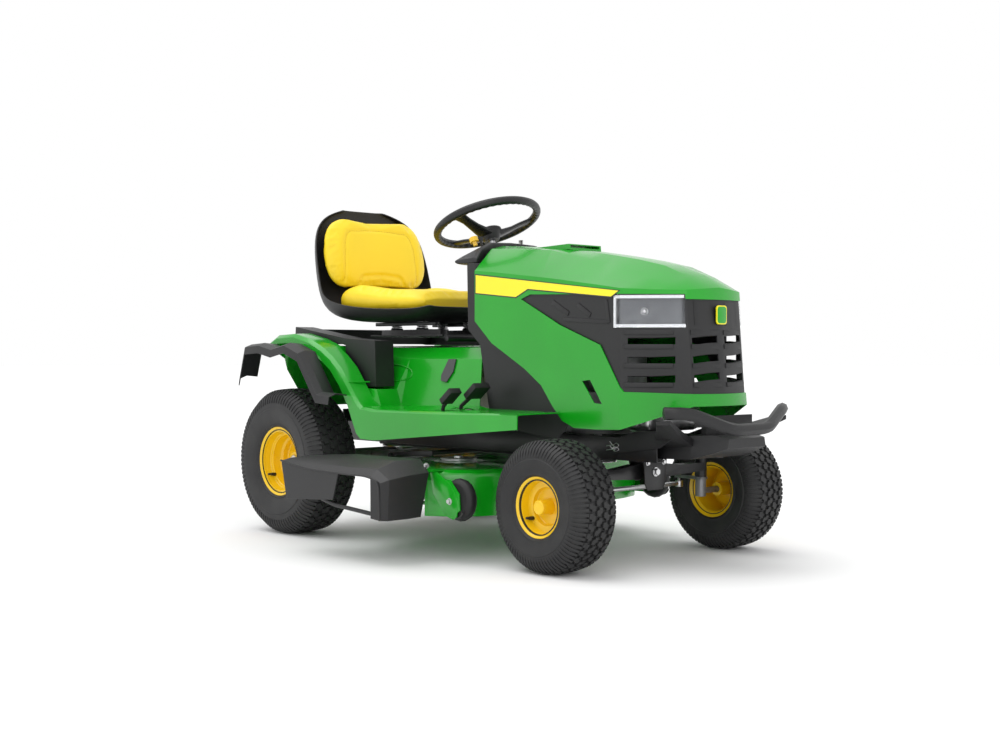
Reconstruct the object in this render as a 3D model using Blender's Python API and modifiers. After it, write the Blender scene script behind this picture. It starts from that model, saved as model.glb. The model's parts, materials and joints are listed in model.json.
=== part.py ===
"""A riding lawn mower as an assembly of separate pieces, in metres.

Dimensions are written in the tractor's own frame: x = 0 is the centre plane with the operator's
left on +X, y = 0 is half way between the axles with the nose towards -Y, and z = 0 is the ground.
One empty at the top of the tree then moves everything, so that the origin lies on the ground under
the middle of the whole machine, deck and discharge chute included.
"""

import math

import bmesh
import bpy
from mathutils import Matrix, Vector

# ---------------------------------------------------------------- driving dimensions

GAP = 0.0003  # between pieces that touch
SHEET = 0.003  # pressed steel of the hood, fenders and mower deck
PLASTIC = 0.004  # moulded covers

WHEELBASE = 1.245
FRONT_AXLE_Y = -WHEELBASE / 2
REAR_AXLE_Y = WHEELBASE / 2

# Wheels: tyre, rim and the shaft that each turns on.
FRONT_WHEEL = {
    "track": 0.763, "radius": 0.1905, "width": 0.165, "tread": 0.098, "shoulder": 0.010,
    "bead": 0.0762, "flange": 0.0873, "rim_width": 0.138, "disc": 0.018, "step": 0.034,
    "facets": 28, "shaft": 0.0095, "hub": 0.021, "hub_out": 0.058, "hub_in": 0.040,
}
REAR_WHEEL = {
    "track": 0.802, "radius": 0.250, "width": 0.189, "tread": 0.118, "shoulder": 0.012,
    "bead": 0.1016, "flange": 0.1185, "rim_width": 0.154, "disc": -0.012, "step": 0.012,
    "facets": 32, "shaft": 0.0125, "hub": 0.030, "hub_out": 0.012, "hub_in": 0.045,
}
RIM_WALL = 0.0035
RIM_TURN = 0.0055  # how far in from its edge the well begins, outside the lip that holds the tyre
RIM_SEGMENTS = 16
SHAFT_CLEARANCE = 0.0009  # round a turning bore whose sides are flat

# Front axle and steering.
AXLE_PIVOT_Z = 0.266
AXLE_BEAM_HEIGHT, AXLE_BEAM_DEPTH = 0.044, 0.046
KINGPIN_X, KINGPIN_RADIUS, KINGPIN_BOSS = 0.262, 0.010, 0.019
LUG_THICKNESS, LUG_CLEARANCE = 0.006, 0.002
STEERING_ARM, ARM_THICKNESS = 0.088, 0.008
BOSS_BOTTOM, BOSS_TOP = AXLE_PIVOT_Z - 0.032, AXLE_PIVOT_Z + 0.030
TIE_ROD_RADIUS = 0.007
TIE_ROD_Z = 0.206
STEERING_WHEEL_CENTRE = Vector((0.0, 0.084, 1.057))
STEERING_TILT = math.radians(21.4)
STEERING_RADIUS, STEERING_GRIP = 0.1735, 0.0135
STEERING_DISH = 0.045
SPOKE_TURNS = (-12, 192, 90)  # degrees about the wheel's axis, the last towards the seat
STEERING_SHAFT_RADIUS, STEERING_SHAFT_LENGTH = 0.0110, 0.34

# Frame rails.
RAIL_OUTER_X, RAIL_WEB, RAIL_FLANGE = 0.150, 0.004, 0.030
RAIL_BOTTOM, RAIL_TOP = 0.308, 0.375
RAIL_FRONT, RAIL_REAR = -0.800, 0.760

# Hood.
HOOD_HALF_WIDTH = 0.240
HOOD_SHOULDER_X = 0.120
NOSE_TOP_Z, NOSE_BOTTOM_Z = 0.797, 0.470
HOOD_HINGE = Vector((0.0, -0.893, 0.452))
GRILLE_WALL, GRILLE_LAP, GRILLE_CLEARANCE = 0.005, 0.008, 0.0008
LAMP_DEPTH = 0.032
LAMP_BOTTOM, LAMP_TOP = 0.692, 0.783

# Operator's station.
PEDESTAL_HALF_WIDTH = 0.220
PLATFORM_HALF_WIDTH = 0.420
TUNNEL_TOP = 0.645
SEAT_HINGE = Vector((0.0, 0.120, 0.668))
SEAT_HALF_WIDTH = 0.254
CUSHION_HALF_WIDTH, BACKREST_HALF_WIDTH = 0.236, 0.234

# Pedals, which rock on pins under the platform: name, x, the stem's y where it comes up, then the
# pad's y, z and width.
PEDALS = [
    ("reverse_pedal", -0.356, -0.100, -0.142, 0.487, 0.044),
    ("forward_pedal", -0.304, -0.124, -0.206, 0.503, 0.062),
    ("brake_pedal", 0.320, -0.124, -0.206, 0.503, 0.090),
]
PEDAL_AXIS_Y, PEDAL_AXIS_Z = -0.045, 0.404
PEDAL_STEM, PEDAL_CLEARANCE, PEDAL_SWEEP = 0.0065, 0.0055, 0.075

# Mower deck, shown lifted for transport.
BLADE_LENGTH, BLADE_WIDTH, BLADE_THICKNESS, BLADE_LIFT = 0.516, 0.056, 0.005, 0.022
BLADE_RIGHT = Vector((-0.240, -0.045, 0.150))
BLADE_LEFT = Vector((0.290, 0.045, 0.150))
BLADE_CLEARANCE = 0.016  # from a blade's tip to the deck's wall
DECK_BOTTOM, DECK_TOP, DECK_SHOULDER = 0.130, 0.268, 0.022
CHUTE_HINGE_X, CHUTE_HINGE_Z = -0.520, 0.286
CHUTE_TIP_X = -0.700
GAUGE_WHEEL_RADIUS, GAUGE_WHEEL_WIDTH = 0.064, 0.040
GAUGE_PLACES = {"right": Vector((-0.452, -0.300, 0.186)), "left": Vector((0.486, -0.236, 0.186))}
MOUTH_FRONT, MOUTH_REAR = -0.170, 0.120
SPINDLE_RADIUS = 0.015

# Lift gear: lever and arms turn together, and the arms' tips fall as far as the deck does.
LIFT_SHAFT_Y, LIFT_SHAFT_Z = 0.345, 0.270
LIFT_LEVER_X = 0.374
LIFT_ARM = 0.215

# Bumper.
BUMPER_RADIUS = 0.0175
BUMPER_NOSE_Y = -1.016
BUMPER_DIP_Z, BUMPER_END_Z = 0.407, 0.4555
BUMPER_CLEARANCE = 0.0015

FRONT_AXLE_Z = FRONT_WHEEL["radius"] * math.cos(math.pi / FRONT_WHEEL["facets"])
REAR_AXLE_Z = REAR_WHEEL["radius"] * math.cos(math.pi / REAR_WHEEL["facets"])
DECK_WALL_RADIUS = BLADE_LENGTH / 2 + BLADE_CLEARANCE + SHEET
DECK_RIGHT_X = BLADE_RIGHT.x - DECK_WALL_RADIUS
DECK_LEFT_X = BLADE_LEFT.x + DECK_WALL_RADIUS

MACHINE_LEFT = DECK_LEFT_X
MACHINE_RIGHT = CHUTE_TIP_X
MACHINE_FRONT = BUMPER_NOSE_Y - BUMPER_RADIUS
MACHINE_REAR = REAR_AXLE_Y + REAR_AXLE_Z
CENTRE = Vector(((MACHINE_LEFT + MACHINE_RIGHT) / 2, (MACHINE_FRONT + MACHINE_REAR) / 2, 0.0))

# ---------------------------------------------------------------- finishes

GREEN_PAINT = ((0.030, 0.400, 0.045), 0.25, 0.0)
YELLOW_PAINT = ((0.900, 0.560, 0.020), 0.35, 0.0)
YELLOW_VINYL = ((0.980, 0.600, 0.050), 0.50, 0.0)
BLACK_PLASTIC = ((0.045, 0.045, 0.048), 0.45, 0.0)
BLACK_PAINT = ((0.020, 0.020, 0.022), 0.40, 0.3)
RUBBER = ((0.022, 0.022, 0.024), 0.75, 0.0)
BARE_STEEL = ((0.550, 0.550, 0.560), 0.35, 1.0)
CAST_METAL = ((0.230, 0.230, 0.240), 0.60, 0.8)
CLEAR_LENS = ((0.850, 0.870, 0.900), 0.08, 0.0)
TANK_PLASTIC = ((0.700, 0.680, 0.600), 0.55, 0.0)

# ---------------------------------------------------------------- scene helpers


def empty_scene():
    for obj in list(bpy.data.objects):
        bpy.data.objects.remove(obj, do_unlink=True)
    for collection in list(bpy.data.collections):
        bpy.data.collections.remove(collection)


def new_collection(name):
    collection = bpy.data.collections.new(name)
    bpy.context.scene.collection.children.link(collection)
    return collection


empty_scene()
PARTS = new_collection("riding_mower")
CUTTERS = new_collection("cutters")
CUTTERS.hide_render = True
PIVOTS = {}


def pivot(name, place, parent=None):
    """An empty on a joint's axis, which the pieces of one moving body hang from."""
    obj = bpy.data.objects.new(name + "_pivot", None)
    obj.empty_display_size = 0.05
    PARTS.objects.link(obj)
    obj.parent = PIVOTS[parent][0] if parent else None
    above = PIVOTS[parent][1] if parent else Vector((0.0, 0.0, 0.0))
    obj.location = Vector(place) - above
    PIVOTS[name] = (obj, Vector(place))


def root_pivot():
    """Every other pivot hangs from this one, which carries the tractor's frame to the part's."""
    obj = bpy.data.objects.new("chassis_pivot", None)
    PARTS.objects.link(obj)
    obj.location = -CENTRE
    PIVOTS["chassis"] = (obj, Vector((0.0, 0.0, 0.0)))


def hang(obj, body, place=(0.0, 0.0, 0.0)):
    parent, at = PIVOTS[body]
    obj.parent = parent
    obj.location = Vector(place) - at


def piece(name, mesh, body, finish, place=(0.0, 0.0, 0.0)):
    """A visible sub-part: its mesh is in the tractor's frame, moved by `place`."""
    colour, roughness, metallic = finish
    material = bpy.data.materials.new(name + "_finish")
    material.use_nodes = True
    shader = material.node_tree.nodes["Principled BSDF"]
    shader.inputs["Base Color"].default_value = (*colour, 1.0)
    shader.inputs["Roughness"].default_value = roughness
    shader.inputs["Metallic"].default_value = metallic
    mesh.materials.clear()
    mesh.materials.append(material)
    obj = bpy.data.objects.new(name, mesh)
    PARTS.objects.link(obj)
    hang(obj, body, place)
    return obj


def cutter(name, mesh):
    obj = bpy.data.objects.new(name, mesh)
    CUTTERS.objects.link(obj)
    obj.hide_render = True
    obj.display_type = "WIRE"
    hang(obj, "chassis")
    return obj


def boolean(obj, tool, operation="DIFFERENCE"):
    modifier = obj.modifiers.new(operation.lower() + "_" + tool.name, "BOOLEAN")
    modifier.operation = operation
    modifier.solver = "EXACT"
    modifier.object = tool


def mirror(obj):
    modifier = obj.modifiers.new("other_side", "MIRROR")
    modifier.merge_threshold = 0.0001
    modifier.use_clip = True


def solidify(obj, thickness):
    modifier = obj.modifiers.new("wall", "SOLIDIFY")
    modifier.thickness = thickness
    modifier.offset = -1.0
    modifier.use_even_offset = True


def bevel(obj, width, segments=1, angle=40):
    modifier = obj.modifiers.new("rounded_edges", "BEVEL")
    modifier.width = width
    modifier.segments = segments
    modifier.limit_method = "ANGLE"
    modifier.angle_limit = math.radians(angle)


# ---------------------------------------------------------------- mesh helpers


def finished(bm, name):
    """The bmesh as a mesh, smooth but for its sharp edges."""
    mesh = bpy.data.meshes.new(name)
    bm.to_mesh(mesh)
    bm.free()
    mesh.shade_smooth()
    mesh.set_sharp_from_angle(angle=math.radians(35))
    return mesh


def add_box(bm, low, high):
    low, high = Vector(low), Vector(high)
    size = high - low
    matrix = Matrix.Translation((low + high) / 2) @ Matrix.Diagonal((*size, 1.0))
    return bmesh.ops.create_cube(bm, size=1.0, matrix=matrix)["verts"]


def add_rod(bm, start, end, radius, segments=12, end_radius=None):
    """A round bar, or a cone if the far end has its own radius."""
    start, end = Vector(start), Vector(end)
    run = end - start
    matrix = Matrix.Translation((start + end) / 2) @ run.to_track_quat("Z", "Y").to_matrix().to_4x4()
    bmesh.ops.create_cone(
        bm, cap_ends=True, segments=segments, radius1=radius,
        radius2=radius if end_radius is None else end_radius, depth=run.length, matrix=matrix,
    )


def add_prism(bm, outline, along, low, high):
    """A closed outline pushed from low to high along the named axis; it lists the other two axes."""
    index = "xyz".index(along)

    def at(point, depth):
        values = list(point)
        values.insert(index, depth)
        return values

    face = bm.faces.new([bm.verts.new(at(point, low)) for point in outline])
    out = bmesh.ops.extrude_face_region(bm, geom=[face])
    moved = [item for item in out["geom"] if isinstance(item, bmesh.types.BMVert)]
    shift = Vector((0.0, 0.0, 0.0))
    shift[index] = high - low
    bmesh.ops.translate(bm, verts=moved, vec=shift)
    bmesh.ops.recalc_face_normals(bm, faces=bm.faces)


def box_mesh(name, low, high):
    bm = bmesh.new()
    add_box(bm, low, high)
    return finished(bm, name)


def rod_mesh(name, start, end, radius, segments=12):
    bm = bmesh.new()
    add_rod(bm, start, end, radius, segments)
    return finished(bm, name)


def prism_mesh(name, outline, along, low, high):
    bm = bmesh.new()
    add_prism(bm, outline, along, low, high)
    return finished(bm, name)


def add_loft(bm, rows, closed=False, caps=False):
    """Quads between rows that have the same number of points."""
    rings = [[bm.verts.new(point) for point in row] for row in rows]
    for ring, following in zip(rings, rings[1:]):
        count = len(ring)
        for i in range(count if closed else count - 1):
            j = (i + 1) % count
            bm.faces.new((ring[i], ring[j], following[j], following[i]))
    if caps:
        bm.faces.new(rings[0])
        bm.faces.new(rings[-1])


def skin_mesh(name, lofts, up=True):
    """One open surface welded from lofts, with its top face (or its bottom one) facing out."""
    bm = bmesh.new()
    for rows in lofts:
        add_loft(bm, rows)
    bmesh.ops.remove_doubles(bm, verts=bm.verts, dist=0.00005)
    bmesh.ops.dissolve_degenerate(bm, dist=0.00001, edges=bm.edges)
    bmesh.ops.recalc_face_normals(bm, faces=bm.faces)
    top = max(bm.faces, key=lambda face: face.calc_center_median().z * abs(face.normal.z))
    if (top.normal.z > 0) != up:
        bmesh.ops.reverse_faces(bm, faces=bm.faces)
    return finished(bm, name)


def solid_loft_mesh(name, rows):
    bm = bmesh.new()
    add_loft(bm, rows, closed=True, caps=True)
    bmesh.ops.remove_doubles(bm, verts=bm.verts, dist=0.00005)
    bmesh.ops.recalc_face_normals(bm, faces=bm.faces)
    return finished(bm, name)


def merged(obj, *tools):
    """Joins solid meshes that share space into the object's one solid."""
    for tool in tools:
        boolean(obj, tool, "UNION")


def tube_mesh(name, points, radius, smooth=True, resolution=2, steps=4):
    """A round tube along the points, closed at both ends, as a mesh that Booleans can use."""
    data = bpy.data.curves.new(name, "CURVE")
    data.dimensions = "3D"
    data.bevel_depth = radius
    data.bevel_resolution = resolution
    data.resolution_u = steps
    data.use_fill_caps = True
    spline = data.splines.new("BEZIER" if smooth else "POLY")
    if smooth:
        spline.bezier_points.add(len(points) - 1)
        for control, point in zip(spline.bezier_points, points):
            control.co = point
            control.handle_left_type = control.handle_right_type = "AUTO"
    else:
        spline.points.add(len(points) - 1)
        for control, point in zip(spline.points, points):
            control.co = (*point, 1.0)
    guide = bpy.data.objects.new(name + "_guide", data)
    CUTTERS.objects.link(guide)
    mesh = bpy.data.meshes.new_from_object(guide.evaluated_get(bpy.context.evaluated_depsgraph_get()))
    bpy.data.objects.remove(guide, do_unlink=True)
    bm = bmesh.new()
    bm.from_mesh(mesh)
    bpy.data.meshes.remove(mesh)
    bmesh.ops.remove_doubles(bm, verts=bm.verts, dist=0.00005)
    bmesh.ops.recalc_face_normals(bm, faces=bm.faces)
    return finished(bm, name)


def turned(name, profile, body, finish, place, axis="z", segments=24, phase=0.0):
    """A profile of (radius, height) spun about the axis through `place`, running down its outside."""
    bm = bmesh.new()
    verts = [bm.verts.new((r * math.cos(phase), r * math.sin(phase), h)) for r, h in profile]
    for a, b in zip(verts, verts[1:]):
        bm.edges.new((a, b))
    if profile[0][0] > 0.0:
        bm.edges.new((verts[-1], verts[0]))
    mesh = bpy.data.meshes.new(name)
    bm.to_mesh(mesh)
    bm.free()
    obj = piece(name, mesh, body, finish, place)
    turn = {"z": (0, 0, 0), "x": (0, math.pi / 2, 0), "-x": (0, -math.pi / 2, 0)}
    obj.rotation_euler = turn[axis]
    modifier = obj.modifiers.new("turned", "SCREW")
    modifier.steps = modifier.render_steps = segments
    modifier.use_merge_vertices = True
    modifier.merge_threshold = 0.00005
    modifier.use_smooth_shade = True
    return obj


def offset_path(points, distance):
    """A plan path moved sideways to its left, with its corners mitred."""
    moved = []
    for i, point in enumerate(points):
        here = Vector(point)
        before = here - Vector(points[i - 1]) if i > 0 else Vector(points[i + 1]) - here
        after = Vector(points[i + 1]) - here if i + 1 < len(points) else before
        n1 = Vector((-before.y, before.x)).normalized()
        n2 = Vector((-after.y, after.x)).normalized()
        mitre = (n1 + n2).normalized()
        moved.append(here + mitre * (distance / mitre.dot(n1)))
    return moved


def grown_outline(outline, distance):
    """A closed outline moved outwards by a distance, corner by corner."""
    area = sum(a[0] * b[1] - b[0] * a[1] for a, b in zip(outline, outline[1:] + outline[:1]))
    side = -1.0 if area > 0 else 1.0
    count = len(outline)
    grown = []
    for i in range(count):
        here = Vector(outline[i])
        before = (here - Vector(outline[i - 1])).normalized()
        after = (Vector(outline[(i + 1) % count]) - here).normalized()
        n1 = Vector((-before.y, before.x)) * side
        n2 = Vector((-after.y, after.x)) * side
        mitre = (n1 + n2).normalized()
        grown.append(tuple(here + mitre * (distance / max(mitre.dot(n1), 0.35))))
    return grown


# ---------------------------------------------------------------- wheels


def tyre_profile(size):
    bead = size["rim_width"] / 2 - RIM_WALL * 2 - GAP
    half = size["width"] / 2
    waist = (size["flange"] + size["radius"]) / 2
    bore = (size["bead"] + GAP) / math.cos(math.pi / size["facets"])
    side = [
        (size["radius"], size["tread"] / 2),
        (size["radius"] - size["shoulder"], half - 0.010),
        (waist, half),
        (size["flange"] + 0.0012, bead),
        (bore, bead),
    ]
    upper = [(r, h) for r, h in reversed(side)]
    lower = [(r, -h) for r, h in side]
    return upper + lower


def rim_profile(size):
    edge = size["rim_width"] / 2
    lip = edge - RIM_WALL * 2
    well = size["bead"] - RIM_WALL
    bore = size["shaft"] + SHAFT_CLEARANCE
    disc, step = size["disc"], size["step"]
    step_radius = (well + size["hub"]) / 2 + 0.008
    return [
        (size["flange"], edge), (size["flange"], lip), (size["bead"], lip),
        (size["bead"], -lip), (size["flange"], -lip), (size["flange"], -edge), (well, RIM_TURN - edge),
        (well, disc - RIM_WALL), (size["hub"], disc - RIM_WALL), (size["hub"], -size["hub_in"]),
        (bore, -size["hub_in"]), (bore, size["hub_out"]), (size["hub"], size["hub_out"]), (size["hub"], disc),
        (step_radius, disc), (step_radius + 0.008, step), (well, step), (well, edge - RIM_TURN),
    ]


def build_wheel(end, side, size, axle_y, axle_z, carrier):
    sign = 1 if side == "left" else -1
    body = f"{end}_wheel_{side}"
    place = (sign * size["track"] / 2, axle_y, axle_z)
    pivot(body, place, carrier)
    axis = "x" if sign > 0 else "-x"
    turned(f"{end}_tyre_{side}", tyre_profile(size), body, RUBBER, place, axis,
           size["facets"], math.pi / size["facets"])
    turned(f"{end}_rim_{side}", rim_profile(size), body, YELLOW_PAINT, place, axis, RIM_SEGMENTS)


# ---------------------------------------------------------------- frame


def build_rail(side):
    """A channel with its flanges turned in."""
    sign = 1 if side == "left" else -1
    outer, web = sign * RAIL_OUTER_X, sign * (RAIL_OUTER_X - RAIL_WEB)
    inner = sign * (RAIL_OUTER_X - RAIL_FLANGE)
    section = [
        (outer, RAIL_BOTTOM), (outer, RAIL_TOP), (inner, RAIL_TOP), (inner, RAIL_TOP - RAIL_WEB),
        (web, RAIL_TOP - RAIL_WEB), (web, RAIL_BOTTOM + RAIL_WEB),
        (inner, RAIL_BOTTOM + RAIL_WEB), (inner, RAIL_BOTTOM),
    ]
    mesh = prism_mesh(f"frame_rail_{side}", section, "y", RAIL_FRONT, RAIL_REAR)
    piece(f"frame_rail_{side}", mesh, "chassis", BLACK_PAINT)


def build_front_crossmember():
    """Ties the rails together and hangs the axle's pivot pin between two lugs."""
    half = RAIL_OUTER_X - RAIL_FLANGE - GAP
    reach = AXLE_BEAM_DEPTH / 2 + LUG_CLEARANCE
    bm = bmesh.new()
    add_box(bm, (-half, FRONT_AXLE_Y - reach - LUG_THICKNESS, RAIL_BOTTOM),
            (half, FRONT_AXLE_Y + reach + LUG_THICKNESS, RAIL_BOTTOM + 0.030))
    body = piece("front_crossmember", finished(bm, "front_crossmember"), "chassis", BLACK_PAINT)
    for name, sign in (("fore", -1), ("aft", 1)):
        near = FRONT_AXLE_Y + sign * reach
        far = near + sign * LUG_THICKNESS
        outline = [(-0.045, RAIL_BOTTOM + 0.010), (-0.024, AXLE_PIVOT_Z - 0.020), (-0.010, AXLE_PIVOT_Z - 0.030),
                   (0.010, AXLE_PIVOT_Z - 0.030), (0.024, AXLE_PIVOT_Z - 0.020), (0.045, RAIL_BOTTOM + 0.010)]
        merged(body, cutter("pivot_lug_" + name, prism_mesh("lug", outline, "y", min(near, far), max(near, far))))
    pin = rod_mesh("pin", (0, FRONT_AXLE_Y - reach - 0.012, AXLE_PIVOT_Z),
                   (0, FRONT_AXLE_Y + reach + 0.012, AXLE_PIVOT_Z), KINGPIN_RADIUS)
    merged(body, cutter("axle_pivot_pin", pin))


def build_hitch_plate():
    """A flat drawbar with its hole, welded across the rear of the rails."""
    half = RAIL_OUTER_X - RAIL_FLANGE - GAP
    outline = [(-half, RAIL_REAR - 0.070), (half, RAIL_REAR - 0.070), (half, RAIL_REAR), (0.055, RAIL_REAR + 0.070),
               (-0.055, RAIL_REAR + 0.070), (-half, RAIL_REAR)]
    plate = piece("hitch_plate", prism_mesh("hitch_plate", outline, "z", RAIL_BOTTOM, RAIL_BOTTOM + 0.006),
                  "chassis", BLACK_PAINT)
    hole = rod_mesh("hole", (0, RAIL_REAR + 0.045, RAIL_BOTTOM - 0.01),
                    (0, RAIL_REAR + 0.045, RAIL_BOTTOM + 0.02), 0.0095)
    boolean(plate, cutter("hitch_hole", hole))
    half -= 0.010
    back = box_mesh("back", (-half, RAIL_REAR - 0.010, RAIL_BOTTOM + 0.003), (half, RAIL_REAR - 0.004, RAIL_TOP + 0.040))
    merged(plate, cutter("rear_frame_wall", back))


# ---------------------------------------------------------------- engine and drive

ENGINE_Y = -0.430
ENGINE_BASE = RAIL_TOP + GAP
CRANK_PULLEY_Z = 0.296
AXLE_PULLEY_Y = 0.560


def build_engine():
    """Vertical-shaft twin: base flange, crankcase, two finned barrels and the blower housing."""
    bm = bmesh.new()
    add_rod(bm, (0, ENGINE_Y, ENGINE_BASE), (0, ENGINE_Y, ENGINE_BASE + 0.150), 0.120, 20)
    engine = piece("engine", finished(bm, "engine"), "chassis", CAST_METAL)
    blower = rod_mesh("blower", (0, ENGINE_Y, ENGINE_BASE + 0.140), (0, ENGINE_Y, ENGINE_BASE + 0.270), 0.150, 20)
    screen = rod_mesh("screen", (0, ENGINE_Y, ENGINE_BASE + 0.250), (0, ENGINE_Y, ENGINE_BASE + 0.300), 0.085, 20)
    crank = rod_mesh("crank", (0, ENGINE_Y, CRANK_PULLEY_Z + 0.020), (0, ENGINE_Y, ENGINE_BASE + 0.020), 0.0127, 12)
    merged(engine, cutter("engine_blower_housing", blower), cutter("engine_screen", screen),
           cutter("engine_crankshaft", crank))
    for name, sign in (("right", -1), ("left", 1)):
        barrel = box_mesh("barrel", (min(sign * 0.05, sign * 0.200), ENGINE_Y - 0.125, ENGINE_BASE + 0.030),
                          (max(sign * 0.05, sign * 0.200), ENGINE_Y - 0.015, ENGINE_BASE + 0.130))
        merged(engine, cutter("engine_barrel_" + name, barrel))


def pulley_profile(radius, bore_height, width=0.013):
    """A V pulley with a boss, solid through the middle, running down its outside."""
    return [
        (0.0, bore_height), (0.014, bore_height), (0.014, width), (radius, width),
        (radius, width * 0.7), (radius - 0.010, 0.0), (radius, -width * 0.7), (radius, -width), (0.0, -width),
    ]


def build_engine_pulley():
    place = (0, ENGINE_Y, CRANK_PULLEY_Z)
    pivot("engine_pulley", place, "chassis")
    turned("engine_pulley", pulley_profile(0.058, 0.0195), "engine_pulley", BARE_STEEL, place, segments=18)


TRANSAXLE_TOP = 0.269


def build_transaxle():
    """Hydrostatic gear case with an axle tube and a shaft out to each rear wheel."""
    bm = bmesh.new()
    add_box(bm, (-0.105, REAR_AXLE_Y - 0.085, REAR_AXLE_Z - 0.070), (0.105, REAR_AXLE_Y + 0.075, TRANSAXLE_TOP))
    case = piece("transaxle", finished(bm, "transaxle"), "chassis", CAST_METAL)
    bevel(case, 0.012)
    hub_face = REAR_WHEEL["track"] / 2 - REAR_WHEEL["hub_in"]
    tube_end = hub_face - 0.010
    tubes = rod_mesh("tubes", (-tube_end, REAR_AXLE_Y, REAR_AXLE_Z), (tube_end, REAR_AXLE_Y, REAR_AXLE_Z), 0.030, 16)
    end = REAR_WHEEL["track"] / 2 + REAR_WHEEL["hub_out"] - 0.002
    shafts = rod_mesh("shafts", (-end, REAR_AXLE_Y, REAR_AXLE_Z), (end, REAR_AXLE_Y, REAR_AXLE_Z),
                      REAR_WHEEL["shaft"], 12)
    drop = rod_mesh("drop", (0, AXLE_PULLEY_Y, TRANSAXLE_TOP - 0.010),
                    (0, AXLE_PULLEY_Y, CRANK_PULLEY_Z - 0.0135), 0.012, 12)
    merged(case, cutter("axle_tubes", tubes), cutter("axle_shafts", shafts), cutter("input_shaft", drop))
    place = (0, AXLE_PULLEY_Y, CRANK_PULLEY_Z)
    pivot("drive_pulley", place, "chassis")
    turned("drive_pulley", pulley_profile(0.062, 0.013), "drive_pulley", BARE_STEEL, place, segments=18)


def belt_outline(first, second, wrap, steps=8):
    """Round two pulleys that stand in line along y: first and second are their y places."""
    points = []
    for i in range(steps + 1):
        angle = math.pi * i / steps
        points.append((wrap * math.cos(angle), second + wrap * math.sin(angle)))
    for i in range(steps + 1):
        angle = math.pi + math.pi * i / steps
        points.append((wrap * math.cos(angle), first + wrap * math.sin(angle)))
    return points


def build_drive_belt():
    low, high = CRANK_PULLEY_Z - 0.003, CRANK_PULLEY_Z + 0.003
    inner, outer = 0.0635, 0.0725
    back = AXLE_PULLEY_Y
    belt = piece("drive_belt", prism_mesh("drive_belt", belt_outline(ENGINE_Y, back, outer), "z", low, high),
                 "chassis", RUBBER)
    hole = prism_mesh("hole", belt_outline(ENGINE_Y, back, inner), "z", low - 0.01, high + 0.01)
    boolean(belt, cutter("belt_loop", hole))


def build_muffler():
    bm = bmesh.new()
    add_box(bm, (-0.120, -0.745, RAIL_TOP + 0.015), (0.120, -0.640, RAIL_TOP + 0.110))
    body = piece("muffler", finished(bm, "muffler"), "chassis", BARE_STEEL)
    bevel(body, 0.020, 2)
    pipe = rod_mesh("pipe", (-0.135, -0.700, RAIL_TOP + 0.045), (-0.080, -0.690, RAIL_TOP + 0.045), 0.016, 12)
    merged(body, cutter("muffler_outlet", pipe))


def build_fuel_tank():
    bm = bmesh.new()
    add_box(bm, (-0.180, -0.030, RAIL_TOP + 0.025), (0.180, 0.220, RAIL_TOP + 0.205))
    tank = piece("fuel_tank", finished(bm, "fuel_tank"), "chassis", TANK_PLASTIC)
    bevel(tank, 0.020, 2)


def build_battery():
    bm = bmesh.new()
    add_box(bm, (-0.098, 0.430, RAIL_TOP + 0.010), (0.098, 0.560, RAIL_TOP + 0.190))
    battery = piece("battery", finished(bm, "battery"), "chassis", BLACK_PLASTIC)
    for name, x in (("negative", -0.070), ("positive", 0.070)):
        post = box_mesh("post", (x - 0.012, 0.445, RAIL_TOP + 0.180), (x + 0.012, 0.470, RAIL_TOP + 0.205))
        merged(battery, cutter("battery_post_" + name, post))


# ---------------------------------------------------------------- front axle and steering


def build_axle_beam():
    """A pressed beam that rocks on the pivot pin and carries a kingpin boss at each end."""
    pivot("front_axle", (0, FRONT_AXLE_Y, AXLE_PIVOT_Z), "chassis")
    half = AXLE_BEAM_HEIGHT / 2
    drop = 0.010
    outline = [
        (-KINGPIN_X, AXLE_PIVOT_Z - half + drop), (-0.060, AXLE_PIVOT_Z - half), (0.060, AXLE_PIVOT_Z - half),
        (KINGPIN_X, AXLE_PIVOT_Z - half + drop), (KINGPIN_X, AXLE_PIVOT_Z + half - drop),
        (0.150, AXLE_PIVOT_Z + half - drop), (0.060, AXLE_PIVOT_Z + half), (-0.060, AXLE_PIVOT_Z + half),
        (-0.150, AXLE_PIVOT_Z + half - drop), (-KINGPIN_X, AXLE_PIVOT_Z + half - drop),
    ]
    mesh = prism_mesh("axle_beam", outline, "y", FRONT_AXLE_Y - AXLE_BEAM_DEPTH / 2 + 0.006,
                      FRONT_AXLE_Y + AXLE_BEAM_DEPTH / 2 - 0.006)
    beam = piece("axle_beam", mesh, "front_axle", BLACK_PAINT)
    for name, sign in (("right", -1), ("left", 1)):
        boss = rod_mesh("boss", (sign * KINGPIN_X, FRONT_AXLE_Y, BOSS_BOTTOM),
                        (sign * KINGPIN_X, FRONT_AXLE_Y, BOSS_TOP), KINGPIN_BOSS)
        merged(beam, cutter("kingpin_boss_" + name, boss))
    for name, sign in (("right", -1), ("left", 1)):
        bore = rod_mesh("bore", (sign * KINGPIN_X, FRONT_AXLE_Y, BOSS_BOTTOM - 0.01),
                        (sign * KINGPIN_X, FRONT_AXLE_Y, BOSS_TOP + 0.01), KINGPIN_RADIUS + SHAFT_CLEARANCE)
        boolean(beam, cutter("kingpin_bore_" + name, bore))
    bore = rod_mesh("bore", (0, FRONT_AXLE_Y - AXLE_BEAM_DEPTH, AXLE_PIVOT_Z),
                    (0, FRONT_AXLE_Y + AXLE_BEAM_DEPTH, AXLE_PIVOT_Z), KINGPIN_RADIUS + SHAFT_CLEARANCE)
    boolean(beam, cutter("axle_pivot_bore", bore))


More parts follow.
